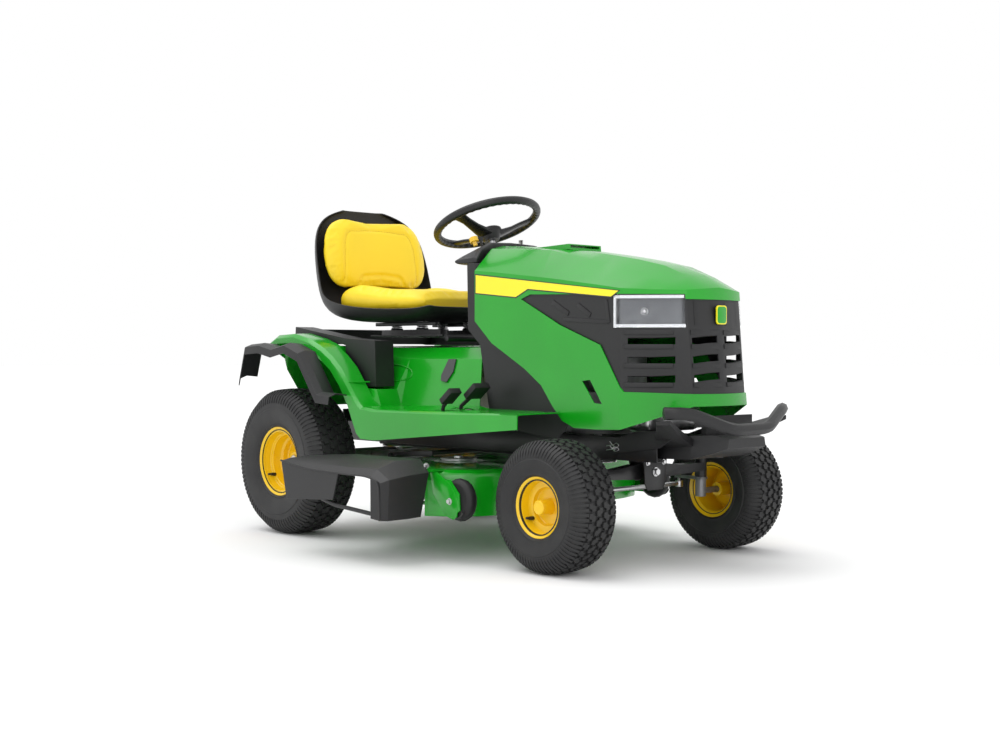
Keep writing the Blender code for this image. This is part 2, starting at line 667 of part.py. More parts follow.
def build_spindle(side):
    """Kingpin, stub axle and steering arm in one forging."""
    sign = 1 if side == "left" else -1
    body = "spindle_" + side
    x = sign * KINGPIN_X
    pivot(body, (x, FRONT_AXLE_Y, AXLE_PIVOT_Z), "front_axle")
    arm_top = BOSS_BOTTOM - 0.001
    bm = bmesh.new()
    add_rod(bm, (x, FRONT_AXLE_Y, FRONT_AXLE_Z - 0.018), (x, FRONT_AXLE_Y, BOSS_TOP + 0.010), KINGPIN_RADIUS, 12)
    forging = piece("spindle_" + side, finished(bm, "spindle_" + side), body, CAST_METAL)
    half = FRONT_WHEEL["track"] / 2
    stub = rod_mesh("stub", (x, FRONT_AXLE_Y, FRONT_AXLE_Z),
                    (sign * (half + FRONT_WHEEL["hub_out"] - 0.002), FRONT_AXLE_Y, FRONT_AXLE_Z),
                    FRONT_WHEEL["shaft"], 12)
    collar = rod_mesh("collar", (x, FRONT_AXLE_Y, FRONT_AXLE_Z - 0.017), (x, FRONT_AXLE_Y, arm_top), 0.017)
    outline = [(x - 0.015, FRONT_AXLE_Y - 0.015), (x + 0.015, FRONT_AXLE_Y - 0.015),
               (x + 0.010, FRONT_AXLE_Y + STEERING_ARM + 0.010), (x - 0.010, FRONT_AXLE_Y + STEERING_ARM + 0.010)]
    arm = prism_mesh("arm", outline, "z", arm_top - ARM_THICKNESS, arm_top)
    merged(forging, cutter("stub_axle_" + side, stub), cutter("spindle_collar_" + side, collar),
           cutter("steering_arm_" + side, arm))
    hole = rod_mesh("hole", (x, FRONT_AXLE_Y + STEERING_ARM, arm_top - 0.02),
                    (x, FRONT_AXLE_Y + STEERING_ARM, arm_top + 0.02), 0.0050 + SHAFT_CLEARANCE)
    boolean(forging, cutter("steering_arm_hole_" + side, hole))


def build_tie_rod():
    """Joins the two steering arms; its ends are studs that stand up through the arms."""
    y = FRONT_AXLE_Y + STEERING_ARM
    pivot("tie_rod", (KINGPIN_X, y, TIE_ROD_Z), "spindle_left")
    bm = bmesh.new()
    add_rod(bm, (-KINGPIN_X, y, TIE_ROD_Z), (KINGPIN_X, y, TIE_ROD_Z), TIE_ROD_RADIUS, 12)
    rod = piece("tie_rod", finished(bm, "tie_rod"), "tie_rod", BARE_STEEL)
    for name, sign in (("right", -1), ("left", 1)):
        x = sign * KINGPIN_X
        eye = rod_mesh("eye", (x, y, TIE_ROD_Z - 0.010), (x, y, TIE_ROD_Z + 0.010), 0.012, 12)
        stud = rod_mesh("stud", (x, y, TIE_ROD_Z), (x, y, BOSS_BOTTOM + 0.006), 0.0050, 12)
        merged(rod, cutter("tie_rod_eye_" + name, eye), cutter("tie_rod_stud_" + name, stud))


STEERING_AXIS = Vector((0.0, math.sin(STEERING_TILT), math.cos(STEERING_TILT)))


def build_steering_wheel():
    """Rim, dished spokes and hub; the rim's plane leans back towards the seat."""
    pivot("steering", STEERING_WHEEL_CENTRE, "chassis")
    lean = Matrix.Translation(STEERING_WHEEL_CENTRE) @ Matrix.Rotation(-STEERING_TILT, 4, "X")
    count, sides = 30, 6
    rings = []
    for i in range(count):
        turn = Matrix.Rotation(2 * math.pi * i / count, 4, "Z")
        ring = []
        for k in range(sides):
            angle = 2 * math.pi * (k + 0.5) / sides
            ring.append(lean @ turn @ Vector((STEERING_RADIUS + STEERING_GRIP * math.cos(angle), 0.0,
                                              STEERING_GRIP * math.sin(angle))))
        rings.append(ring)
    bm = bmesh.new()
    add_loft(bm, rings + [rings[0]], closed=True)
    bmesh.ops.remove_doubles(bm, verts=bm.verts, dist=0.00005)
    bmesh.ops.recalc_face_normals(bm, faces=bm.faces)
    wheel = piece("steering_wheel", finished(bm, "steering_wheel"), "steering", BLACK_PLASTIC)
    hub_bm = bmesh.new()
    bmesh.ops.create_cone(hub_bm, cap_ends=True, segments=16, radius1=0.030, radius2=0.042, depth=0.040,
                          matrix=lean @ Matrix.Translation((0, 0, -STEERING_DISH)))
    merged(wheel, cutter("steering_hub", finished(hub_bm, "hub")))
    for i, degrees in enumerate(SPOKE_TURNS):
        spoke = spoke_mesh(lean @ Matrix.Rotation(math.radians(degrees), 4, "Z"))
        merged(wheel, cutter(f"steering_spoke_{i}", spoke))


def spoke_mesh(frame):
    """A flat arm that widens towards the hub and drops into the dish."""
    stations = ((0.018, -STEERING_DISH, 0.024), (0.060, -STEERING_DISH + 0.008, 0.019),
                (0.130, -0.012, 0.013), (STEERING_RADIUS, 0.0, 0.017))
    rows = []
    for reach, height, half in stations:
        rows.append([frame @ Vector((reach, side * half, height + lift))
                     for side, lift in ((-1, -0.006), (1, -0.006), (1, 0.006), (-1, 0.006))])
    return solid_loft_mesh("spoke", rows)


def build_steering_shaft():
    top = STEERING_WHEEL_CENTRE - STEERING_AXIS * (STEERING_DISH + 0.0203)
    bottom = STEERING_WHEEL_CENTRE - STEERING_AXIS * STEERING_SHAFT_LENGTH
    bm = bmesh.new()
    add_rod(bm, top, bottom, STEERING_SHAFT_RADIUS, 12)
    piece("steering_shaft", finished(bm, "steering_shaft"), "steering", BARE_STEEL)


# ---------------------------------------------------------------- hood, grille and lamps

# Hood stations from the dash to the nose: the crown's y and z, the shoulder's y and z, then the
# side's x and y, the height of its crease and of its lower edge.
HOOD_STATIONS = [
    (-0.052, 0.972, -0.070, 0.956, HOOD_HALF_WIDTH, -0.123, 0.878, 0.720),
    (-0.190, 0.961, -0.195, 0.948, HOOD_HALF_WIDTH, -0.201, 0.871, 0.651),
    (-0.340, 0.947, -0.345, 0.937, HOOD_HALF_WIDTH, -0.350, 0.854, 0.572),
    (-0.422, 0.936, -0.422, 0.918, HOOD_HALF_WIDTH, -0.422, 0.846, 0.523),
    (-0.471, 0.929, -0.471, 0.907, HOOD_HALF_WIDTH, -0.471, 0.840, 0.461),
    (-0.510, 0.923, -0.510, 0.898, HOOD_HALF_WIDTH, -0.510, 0.835, 0.421),
    (-0.560, 0.915, -0.560, 0.886, HOOD_HALF_WIDTH, -0.560, 0.828, 0.401),
    (-0.650, 0.899, -0.650, 0.866, HOOD_HALF_WIDTH, -0.650, 0.816, 0.400),
    (-0.755, 0.876, -0.750, 0.840, HOOD_HALF_WIDTH, -0.740, 0.803, 0.403),
    (-0.850, 0.842, -0.825, 0.820, 0.180, -0.8105, 0.799, 0.432),
]
NOSE_CORNER = (HOOD_SHOULDER_X, -0.881)
NOSE_CENTRE_Y = -0.902
NOSE_RAKE = 0.0285  # the foot of the nose stands this far ahead of its top


def hood_row(station):
    crown_y, crown_z, shoulder_y, shoulder_z, x, y, crease, bottom = station
    return [
        (0.0, crown_y, crown_z), (HOOD_SHOULDER_X / 2, (crown_y + shoulder_y) / 2, crown_z - 0.003),
        (HOOD_SHOULDER_X, shoulder_y, shoulder_z), (x, y, crease), (x, y, (crease + bottom) / 2), (x, y, bottom),
    ]


def nose_column(x):
    """Points down the nose at one x, from the top band to the lip."""
    share = x / NOSE_CORNER[0]
    y = NOSE_CENTRE_Y + (NOSE_CORNER[1] - NOSE_CENTRE_Y) * share ** 2
    middle = (NOSE_TOP_Z + NOSE_BOTTOM_Z) / 2
    return [(x, y, NOSE_TOP_Z + 0.009 * (1 - share)), (x, y - NOSE_RAKE / 2, middle),
            (x, y - NOSE_RAKE, NOSE_BOTTOM_Z)]


GRILLE_OUTLINE = [
    (-0.334, 0.783), (-0.374, 0.796), (-0.700, 0.787), (-0.8790, 0.785), (-0.8805, 0.771), (-1.000, 0.771),
    (-1.000, 0.502), (-0.748, 0.510), (-0.663, 0.643), (-0.501, 0.702),
]
VENT_OUTLINE = [(-0.592, 0.539), (-0.624, 0.542), (-0.671, 0.474), (-0.640, 0.476)]


SCOOP_HALF_WIDTH = 0.072
SCOOP_OUTLINE = [(-0.235, 0.9530), (-0.372, 0.9575), (-0.374, 0.9400), (-0.235, 0.9520)]


def build_hood():
    pivot("hood", HOOD_HINGE, "chassis")
    rows = [hood_row(station) for station in HOOD_STATIONS]
    corner, middle, centre = (nose_column(x) for x in (HOOD_SHOULDER_X, HOOD_SHOULDER_X / 2, 0.0))
    rows.append([centre[0], middle[0], corner[0], corner[0], corner[1], corner[2]])
    shell = piece("hood_shell", skin_mesh("hood_shell", [rows, [corner, middle, centre]]), "hood", GREEN_PAINT)
    mirror(shell)
    solidify(shell, SHEET)
    reach = HOOD_HALF_WIDTH + 0.05
    boolean(shell, cutter("grille_opening", prism_mesh("opening", GRILLE_OUTLINE, "x", -reach, reach)))
    boolean(shell, cutter("side_vents", prism_mesh("vents", VENT_OUTLINE, "x", -reach, reach)))
    scoop = prism_mesh("scoop", SCOOP_OUTLINE, "x", -SCOOP_HALF_WIDTH, SCOOP_HALF_WIDTH)
    merged(shell, cutter("air_scoop", scoop))
    mouth = box_mesh("mouth", (-SCOOP_HALF_WIDTH + 0.007, -0.390, 0.9462), (SCOOP_HALF_WIDTH - 0.007, -0.340, 0.9542))
    boolean(shell, cutter("scoop_mouth", mouth))


def nose_path(height, depth):
    """The hood's plan from its side round to the centre at one height, moved inwards by a depth."""
    rake = NOSE_RAKE * (NOSE_TOP_Z - height) / (NOSE_TOP_Z - NOSE_BOTTOM_Z)
    chamfer = HOOD_STATIONS[-1]
    path = [(HOOD_HALF_WIDTH, -0.300), (HOOD_HALF_WIDTH, HOOD_STATIONS[-2][5]), (chamfer[4], chamfer[5])]
    for share in (1.0, 0.5, 0.0):
        y = NOSE_CENTRE_Y + (NOSE_CORNER[1] - NOSE_CENTRE_Y) * share ** 2 - rake
        path.append((HOOD_SHOULDER_X * share, y))
    inward = offset_path(path, -depth)
    inward[-1].x = 0.0
    return [(p.x, p.y, height) for p in inward]


SLOT_HEIGHTS = (0.658, 0.604, 0.550)
SLOT_OPENING = 0.021
LOUVRE_TILT = math.radians(24)


def slot_mesh(start, end, height, depth=0.060):
    """A flat slot between two plan points that slopes down into the grille."""
    start, end = Vector((*start, height)), Vector((*end, height))
    along = (end - start).normalized()
    out = along.cross(Vector((0, 0, 1)))
    rows = []
    for place in (start, end):
        row = []
        for reach, lift in ((-1, -0.5), (1, -0.5), (1, 0.5), (-1, 0.5)):
            rise = lift * SLOT_OPENING + reach * depth / 2 * math.tan(LOUVRE_TILT)
            row.append(place + out * (reach * depth / 2) + Vector((0, 0, rise)))
        rows.append(row)
    return solid_loft_mesh("slot", rows)


def build_grille():
    """A wall that lines the nose behind the hood's opening, with three rows of sloping slots."""
    depth = SHEET + 0.0012
    rows = [nose_path(0.806, depth), nose_path(0.640, depth), nose_path(0.486, depth)]
    bm = bmesh.new()
    add_loft(bm, rows)
    bmesh.ops.recalc_face_normals(bm, faces=bm.faces)
    side = max(bm.faces, key=lambda face: face.calc_center_median().x)
    if side.normal.x < 0:
        bmesh.ops.reverse_faces(bm, faces=bm.faces)
    grille = piece("grille", finished(bm, "grille"), "hood", BLACK_PLASTIC)
    mirror(grille)
    solidify(grille, GRILLE_WALL)
    reach = HOOD_HALF_WIDTH + 0.05
    lapped = [(y, min(z, 0.7965)) for y, z in grown_outline(GRILLE_OUTLINE, GRILLE_LAP)]
    boolean(grille, cutter("grille_edge", prism_mesh("edge", lapped, "x", -reach, reach)), "INTERSECT")
    for name, sign in (("right", -1), ("left", 1)):
        boolean(grille, cutter("lamp_pocket_" + name, lamp_mesh("pocket", sign, GRILLE_CLEARANCE)))
        for row, height in enumerate(SLOT_HEIGHTS):
            corner = slot_mesh((sign * 0.232, -0.762), (sign * 0.146, -0.864), height)
            boolean(grille, cutter(f"corner_slot_{name}_{row}", corner))
            front = slot_mesh((sign * 0.108, -0.905), (sign * 0.016, -0.905), height)
            boolean(grille, cutter(f"front_slot_{name}_{row}", front))


def lamp_mesh(name, sign, growth=0.0):
    """The lamp's block: it follows the hood's corner from the side to the nose."""
    low, high = LAMP_BOTTOM - growth, LAMP_TOP + growth
    back = LAMP_DEPTH + growth
    rows = []
    for height in (low, high):
        outer = nose_path(height, -growth)[1:4]
        inner = nose_path(height, back)[1:4]
        start = (HOOD_HALF_WIDTH + growth, -0.716 + growth, height)
        start_in = (HOOD_HALF_WIDTH - back, -0.716 + growth, height)
        end = Vector(outer[1]).lerp(Vector(outer[2]), 0.93 + growth * 6)
        end_in = Vector(inner[1]).lerp(Vector(inner[2]), 0.93 + growth * 6)
        row = [start, outer[0], outer[1], end, end_in, inner[1], inner[0], start_in]
        rows.append([(sign * p[0], p[1], p[2]) for p in row])
    return solid_loft_mesh(name, rows)


def build_lamps():
    for name, sign in (("right", -1), ("left", 1)):
        piece("headlight_" + name, lamp_mesh("headlight_" + name, sign), "hood", CLEAR_LENS)


def build_badge():
    """A plain rounded plate on the middle of the grille."""
    height, half = 0.728, 0.022
    outline = [(-half, height - 0.020), (-half + 0.006, height - 0.026), (half - 0.006, height - 0.026),
               (half, height - 0.020), (half, height + 0.020), (half - 0.006, height + 0.026),
               (-half + 0.006, height + 0.026), (-half, height + 0.020)]
    face = NOSE_CENTRE_Y - NOSE_RAKE * (NOSE_TOP_Z - height) / (NOSE_TOP_Z - NOSE_BOTTOM_Z)
    piece("grille_badge", prism_mesh("grille_badge", outline, "y", face - 0.004, face + 0.0010), "hood", GREEN_PAINT)


# ---------------------------------------------------------------- operator's station

PEDESTAL_OUTLINE = [
    (-0.063, 0.905), (-0.068, 0.693), (-0.125, 0.645), (-0.168, 0.441), (-0.309, 0.378), (-0.469, 0.361),
    (-0.505, 0.392), (-0.530, 0.440), (-0.470, 0.520), (-0.380, 0.600), (-0.240, 0.680), (-0.170, 0.745),
    (-0.165, 0.862), (-0.112, 0.872), (-0.098, 0.905),
]
PEDESTAL_HOLLOW = [
    (-0.069, 0.899), (-0.074, 0.696), (-0.130, 0.648), (-0.174, 0.444), (-0.178, 0.340), (-0.640, 0.340),
    (-0.640, 0.840), (-0.108, 0.866), (-0.094, 0.899),
]
COWL_OUTLINE = [
    (-0.066, 0.668), (-0.040, 0.668), (-0.004, 0.740), (0.020, 0.840), (0.044, 0.905), (-0.066, 0.905),
]
COWL_HALF_WIDTH = 0.045


def build_pedestal():
    """Dash tower: two side panels, a rear wall and the cowl round the steering column."""
    half = PEDESTAL_HALF_WIDTH
    tower = piece("pedestal", prism_mesh("pedestal", PEDESTAL_OUTLINE, "x", -half, half), "chassis", BLACK_PLASTIC)
    inner = half - PLASTIC
    boolean(tower, cutter("pedestal_hollow", prism_mesh("hollow", PEDESTAL_HOLLOW, "x", -inner, inner)))
    cowl = prism_mesh("cowl", COWL_OUTLINE, "x", -COWL_HALF_WIDTH, COWL_HALF_WIDTH)
    merged(tower, cutter("column_cowl", cowl))
    start = STEERING_WHEEL_CENTRE - STEERING_AXIS * 0.10
    end = STEERING_WHEEL_CENTRE - STEERING_AXIS * (STEERING_SHAFT_LENGTH + 0.004)
    boolean(tower, cutter("column_bore", rod_mesh("bore", start, end, STEERING_SHAFT_RADIUS + 0.003, 12)))


DASH_SECTIONS = [
    (0.000, 0.000, 0.000),
    (0.100, -0.006, -0.004),
    (0.160, -0.022, -0.026),
    (0.205, -0.048, -0.060),
]
DASH_BOTTOM = 0.9065


def build_dash():
    """The panel behind the hood that carries the switch, the knob and the throttle."""
    rows = []
    for x, back, drop in DASH_SECTIONS:
        rows.append([(x, -0.046 + back, DASH_BOTTOM), (x, 0.050 + back, DASH_BOTTOM), (x, 0.064 + back, 0.925 + drop * 0.2),
                     (x, 0.060 + back, 0.942 + drop * 0.4), (x, -0.030 + back, 0.984 + drop), (x, -0.046 + back, 0.980 + drop)])
    bm = bmesh.new()
    add_loft(bm, rows, closed=True)
    bm.faces.new([vert for vert in bm.verts if vert.co.x > DASH_SECTIONS[-1][0] - 1e-6])
    bmesh.ops.recalc_face_normals(bm, faces=bm.faces)
    dash = piece("dash_panel", finished(bm, "dash_panel"), "chassis", BLACK_PLASTIC)
    mirror(dash)
    start = STEERING_WHEEL_CENTRE - STEERING_AXIS * 0.05
    end = STEERING_WHEEL_CENTRE - STEERING_AXIS * 0.22
    boolean(dash, cutter("dash_column_hole", rod_mesh("hole", start, end, STEERING_SHAFT_RADIUS + 0.003, 12)))


# Fender sections from the front of the tunnel to the rear: y, then the heights of the seat plate,
# its edge, the tunnel's crest, the foot of its side, the shelf, the inner and outer fender, the
# rolled edge and the skirt's lower edge.
FENDER_X = (0.0, 0.170, 0.212, 0.250, 0.335, 0.345, 0.408, PLATFORM_HALF_WIDTH, PLATFORM_HALF_WIDTH)
FENDER_STATIONS = [
    (0.160, (0.645, 0.637, 0.600, 0.447, 0.443, 0.442, 0.438, 0.430, 0.339)),
    (0.235, (0.645, 0.637, 0.600, 0.449, 0.446, 0.446, 0.444, 0.436, 0.341)),
    (0.258, (0.645, 0.637, 0.602, 0.500, 0.500, 0.465, 0.462, 0.452, 0.358)),
    (0.305, (0.645, 0.637, 0.605, 0.502, 0.502, 0.520, 0.516, 0.505, 0.448)),
    (0.350, (0.645, 0.638, 0.612, 0.502, 0.502, 0.572, 0.568, 0.556, 0.510)),
    (0.402, (0.645, 0.640, 0.620, 0.502, 0.502, 0.612, 0.608, 0.596, 0.563)),
    (0.438, (0.645, 0.642, 0.630, 0.504, 0.504, 0.632, 0.628, 0.616, 0.585)),
    (0.450, (0.645, 0.645, 0.642, 0.642, 0.642, 0.640, 0.636, 0.624, 0.592)),
    (0.520, (0.645, 0.645, 0.642, 0.645, 0.645, 0.668, 0.664, 0.652, 0.628)),
    (0.620, (0.645, 0.645, 0.642, 0.645, 0.645, 0.688, 0.686, 0.674, 0.655)),
    (0.720, (0.645, 0.645, 0.642, 0.645, 0.645, 0.686, 0.682, 0.670, 0.652)),
    (0.768, (0.640, 0.640, 0.638, 0.640, 0.640, 0.664, 0.660, 0.650, 0.634)),
]
PLATFORM_FRONT_Y = -0.508


def fender_front_row():
    """The front of the tunnel leans with the pedestal's rear face."""
    depths = (-0.116, -0.116, -0.126, -0.158, -0.165, -0.165, -0.165, -0.165, -0.165)
    heights = (0.645, 0.637, 0.600, 0.455, 0.444, 0.443, 0.441, 0.433, 0.366)
    return [(x, y, z) for x, y, z in zip(FENDER_X, depths, heights)]


def platform_row(y, inner, rise):
    lower = 0.366 + rise * 0.034
    heights = (0.445, 0.444 + rise * 0.001, 0.443 + rise * 0.002, 0.441 + rise * 0.003, 0.433 + rise * 0.008, lower)
    across = (inner, *FENDER_X[4:])
    return [(x, y, z) for x, z in zip(across, heights)]


def build_fender_deck():
    """One pressing: foot platforms, centre tunnel, seat plate, wheel arches and rear panel."""
    front = fender_front_row()
    rows = [front]
    for y, heights in FENDER_STATIONS:
        rows.append([(x, y, z) for x, z in zip(FENDER_X, heights)])
    rear_heights = (0.430, 0.430, 0.430, 0.430, 0.560, 0.600, 0.640, 0.632, 0.620)
    rows.append([(x, 0.782, z) for x, z in zip(FENDER_X, rear_heights)])
    arms = [platform_row(PLATFORM_FRONT_Y, 0.2455, 1.0), platform_row(-0.450, 0.2455, 0.83),
            platform_row(-0.425, 0.2285, 0.76), platform_row(-0.185, 0.2285, 0.06), front[3:]]
    deck = piece("fender_deck", skin_mesh("fender_deck", [rows, arms]), "chassis", GREEN_PAINT)
    mirror(deck)
    solidify(deck, SHEET)
    for name, x, foot_y, *_ in PEDALS:
        boolean(deck, cutter(name + "_slot", pedal_slot_mesh(x, foot_y)))
    lever_slot = box_mesh("slot", (LIFT_LEVER_X - 0.009, 0.215, 0.40), (LIFT_LEVER_X + 0.009, 0.418, 0.68))
    boolean(deck, cutter("lift_lever_slot", lever_slot))


def build_seat_surround():
    """Black moulding round the seat: a deep pocket at each front corner and a bar behind."""
    side = [(0.2635, 0.5085), (0.4300, 0.5085), (0.4320, 0.6455), (0.4500, 0.6500), (0.5200, 0.6500), (0.7200, 0.6500),
            (0.7350, 0.6520), (0.7300, 0.7120), (0.4400, 0.6700), (0.2700, 0.6600)]
    inner, outer = FENDER_X[3] + 0.006, FENDER_X[4] - 0.002
    trim = piece("seat_surround", prism_mesh("seat_surround", side, "x", inner, outer), "chassis", BLACK_PLASTIC)
    other = prism_mesh("other", side, "x", -outer, -inner)
    bar = box_mesh("bar", (-inner - 0.02, 0.690, 0.6525), (inner + 0.02, 0.728, 0.704))
    merged(trim, cutter("surround_bar", bar), cutter("surround_right", other))


GUARD_PATH = [
    (0.300, 0.487), (0.372, 0.492), (0.478, 0.628), (0.560, 0.655), (0.640, 0.640), (0.717, 0.655), (0.802, 0.650),
    (0.838, 0.540),
]


def build_rear_guard(side):
    """A moulded wing outboard of the fender, over the rear tyre."""
    sign = 1 if side == "left" else -1
    rows = []
    for y, z in GUARD_PATH:
        rows.append([(sign * (PLATFORM_HALF_WIDTH + 0.0045), y, z - 0.004), (sign * 0.470, y, z),
                     (sign * 0.498, y, z - 0.010), (sign * 0.502, y, z - 0.036)])
    mesh = skin_mesh("rear_guard_" + side, [rows])
    guard = piece("rear_guard_" + side, mesh, "chassis", BLACK_PLASTIC)
    solidify(guard, PLASTIC)


def build_fuel_window():
    """The clear level window let into the tunnel's side, standing just off the sheet."""
    outline = [(-0.006, 0.600), (0.030, 0.600), (0.052, 0.548), (0.048, 0.530), (0.020, 0.526), (-0.004, 0.560)]
    rows = []
    for shift in (0.0015, 0.0055):
        row = []
        for y, z in outline:
            slope = (0.600 - z) / (0.600 - 0.447) * (FENDER_X[3] - FENDER_X[2])
            row.append((-(FENDER_X[2] + slope + shift), y, z))
        rows.append(row)
    piece("fuel_window", solid_loft_mesh("fuel_window", rows), "chassis", CLEAR_LENS)


# ---------------------------------------------------------------- seat


def build_seat_base():
    """Hinged plate that carries the seat's slide tracks."""
    pivot("seat_base", SEAT_HINGE, "chassis")
    bm = bmesh.new()
    add_box(bm, (-0.160, 0.130, 0.676), (0.160, 0.520, 0.682))
    base = piece("seat_base", finished(bm, "seat_base"), "seat_base", BLACK_PAINT)
    barrel = rod_mesh("barrel", (-0.150, SEAT_HINGE.y, SEAT_HINGE.z), (0.150, SEAT_HINGE.y, SEAT_HINGE.z), 0.010, 12)
    tongue = box_mesh("tongue", (-0.150, SEAT_HINGE.y, SEAT_HINGE.z + 0.002), (0.150, 0.160, 0.6815))
    merged(base, cutter("seat_hinge_barrel", barrel), cutter("seat_hinge_tongue", tongue))
    for name, sign in (("right", -1), ("left", 1)):
        x = sign * 0.110
        track = box_mesh("track", (x - 0.016, 0.180, 0.680), (x + 0.016, 0.500, 0.700))
        merged(base, cutter("seat_track_" + name, track))


# The shell's rows from its front lip, along the pan and up the back: y, z, half width, how far the
# edge turns up from the pan, and which way (forwards) the edge of the back turns.
SHELL_ROWS = [
    (0.142, 0.775, 0.205, 0.006, 0.000),
    (0.165, 0.742, 0.232, 0.026, 0.000),
    (0.330, 0.728, SEAT_HALF_WIDTH, 0.040, 0.000),
    (0.560, 0.728, SEAT_HALF_WIDTH, 0.056, 0.000),
    (0.690, 0.752, SEAT_HALF_WIDTH, 0.062, -0.024),
    (0.742, 0.830, SEAT_HALF_WIDTH, 0.020, -0.058),
    (0.762, 0.930, SEAT_HALF_WIDTH, 0.006, -0.056),
    (0.780, 1.030, 0.243, 0.000, -0.048),
    (0.787, 1.085, 0.216, 0.000, -0.040),
    (0.788, 1.122, 0.168, -0.002, -0.026),
    (0.783, 1.145, 0.092, -0.003, -0.012),
]
# Across half the shell: the share of its half width, and of its edge's turn.
SHELL_SPREAD = ((0.00, 0.00), (0.45, 0.00), (0.78, 0.03), (0.93, 0.22), (1.00, 1.00))


def build_seat():
    pivot("seat", (0.0, 0.340, 0.700), "seat_base")
    rows = []
    for y, z, half, rise, forward in SHELL_ROWS:
        rows.append([(half * across, y + forward * turn, z + rise * turn) for across, turn in SHELL_SPREAD])
    shell = piece("seat_shell", skin_mesh("seat_shell", [rows]), "seat", BLACK_PLASTIC)
    shell.data.flip_normals()
    mirror(shell)
    solidify(shell, PLASTIC)
    build_cushion()
    build_backrest()


def build_cushion():
    low, high = (-CUSHION_HALF_WIDTH, 0.172, 0.756), (CUSHION_HALF_WIDTH, 0.672, 0.850)
    cushion = piece("seat_cushion", box_mesh("seat_cushion", low, high), "seat", YELLOW_VINYL)
    bevel(cushion, (high[2] - low[2]) * 0.42, 3, 30)


def build_backrest():
    """Leans with the shell's back, a little in front of it."""
    bm = bmesh.new()
    lean = Matrix.Translation((0, 0.700, 0.980)) @ Matrix.Rotation(math.radians(-9), 4, "X")
    size = Matrix.Diagonal((BACKREST_HALF_WIDTH * 2, 0.066, 0.262, 1.0))
    bmesh.ops.create_cube(bm, size=1.0, matrix=lean @ size)
    across = [edge for edge in bm.edges if abs((edge.verts[0].co - edge.verts[1].co).normalized().y) > 0.9]
    bmesh.ops.bevel(bm, geom=across, offset=0.070, segments=3, profile=0.5, affect="EDGES", material=-1)
    backrest = piece("seat_backrest", finished(bm, "seat_backrest"), "seat", YELLOW_VINYL)
    bevel(backrest, 0.020, 2, 50)


# ---------------------------------------------------------------- mower deck


def deck_outline(inset, steps=9):
    """Plan of the deck: round the left blade, along the front and round the right blade."""
    radius = DECK_WALL_RADIUS - inset
    left, right = BLADE_LEFT.xy, BLADE_RIGHT.xy
    lean = math.atan2(left.y - right.y, left.x - right.x)
    points = []
    for i in range(steps + 1):
        angle = lean - math.pi / 2 + math.pi * i / steps
        points.append((left.x + radius * math.cos(angle), left.y + radius * math.sin(angle)))
    for i in range(steps + 1):
        angle = lean + math.pi / 2 + math.pi * i / steps
        points.append((right.x + radius * math.cos(angle), right.y + radius * math.sin(angle)))
    return points


def build_deck_shell():
    """A pressed cover, open below, with the discharge mouth on the right."""
    pivot("deck", (0.025, 0.0, DECK_TOP), "chassis")
    bm = bmesh.new()
    rings = []
    for inset, height in ((DECK_SHOULDER, DECK_TOP), (DECK_SHOULDER * 0.25, DECK_TOP - DECK_SHOULDER * 0.4),
                          (0.0, DECK_TOP - DECK_SHOULDER), (0.0, DECK_BOTTOM)):
        rings.append([bm.verts.new((x, y, height)) for x, y in deck_outline(inset)])
    for ring, following in zip(rings, rings[1:]):
        for i in range(len(ring)):
            j = (i + 1) % len(ring)
            bm.faces.new((ring[i], ring[j], following[j], following[i]))
    bm.faces.new(rings[0])
    bmesh.ops.recalc_face_normals(bm, faces=bm.faces)
    if max(bm.faces, key=lambda face: face.calc_center_median().z).normal.z < 0:
        bmesh.ops.reverse_faces(bm, faces=bm.faces)
    shell = piece("deck_shell", finished(bm, "deck_shell"), "deck", GREEN_PAINT)
    solidify(shell, SHEET)
    for name, blade in (("right", BLADE_RIGHT), ("left", BLADE_LEFT)):
        hole = rod_mesh("hole", (blade.x, blade.y, DECK_TOP - 0.02), (blade.x, blade.y, DECK_TOP + 0.02),
                        SPINDLE_RADIUS + 0.004)
        boolean(shell, cutter("spindle_hole_" + name, hole))
    mouth = box_mesh("mouth", (DECK_RIGHT_X - 0.02, MOUTH_FRONT, DECK_BOTTOM - 0.01),
                     (BLADE_RIGHT.x - 0.150, MOUTH_REAR, DECK_TOP - DECK_SHOULDER - 0.010))
    boolean(shell, cutter("discharge_mouth", mouth))
    for side in ("right", "left"):
        merged(shell, cutter("gauge_bracket_" + side, gauge_bracket_mesh(side)))
    merged(shell, cutter("chute_hinge_bar", box_mesh(
        "bar", (CHUTE_HINGE_X + 0.010, MOUTH_FRONT - 0.040, DECK_TOP - SHEET), (DECK_RIGHT_X + 0.080, MOUTH_REAR + 0.030, DECK_TOP + 0.004))))


def gauge_bracket_mesh(side):
    """A slotted plate outboard of the gauge wheel, with the wheel's axle bolt."""
    at = GAUGE_PLACES[side]
    sign = 1 if side == "left" else -1
    face = at.x + sign * (GAUGE_WHEEL_WIDTH / 2 + 0.002)
    low, high = sorted((face, face + sign * 0.004))
    bm = bmesh.new()
    outline = [(at.y + 0.135, at.z + 0.052), (at.y + 0.020, at.z + 0.060), (at.y - 0.022, at.z + 0.020),
               (at.y - 0.026, at.z - 0.028), (at.y + 0.010, at.z - 0.050), (at.y + 0.135, at.z - 0.050)]
    add_prism(bm, outline, "x", low, high)
    return finished(bm, "bracket")


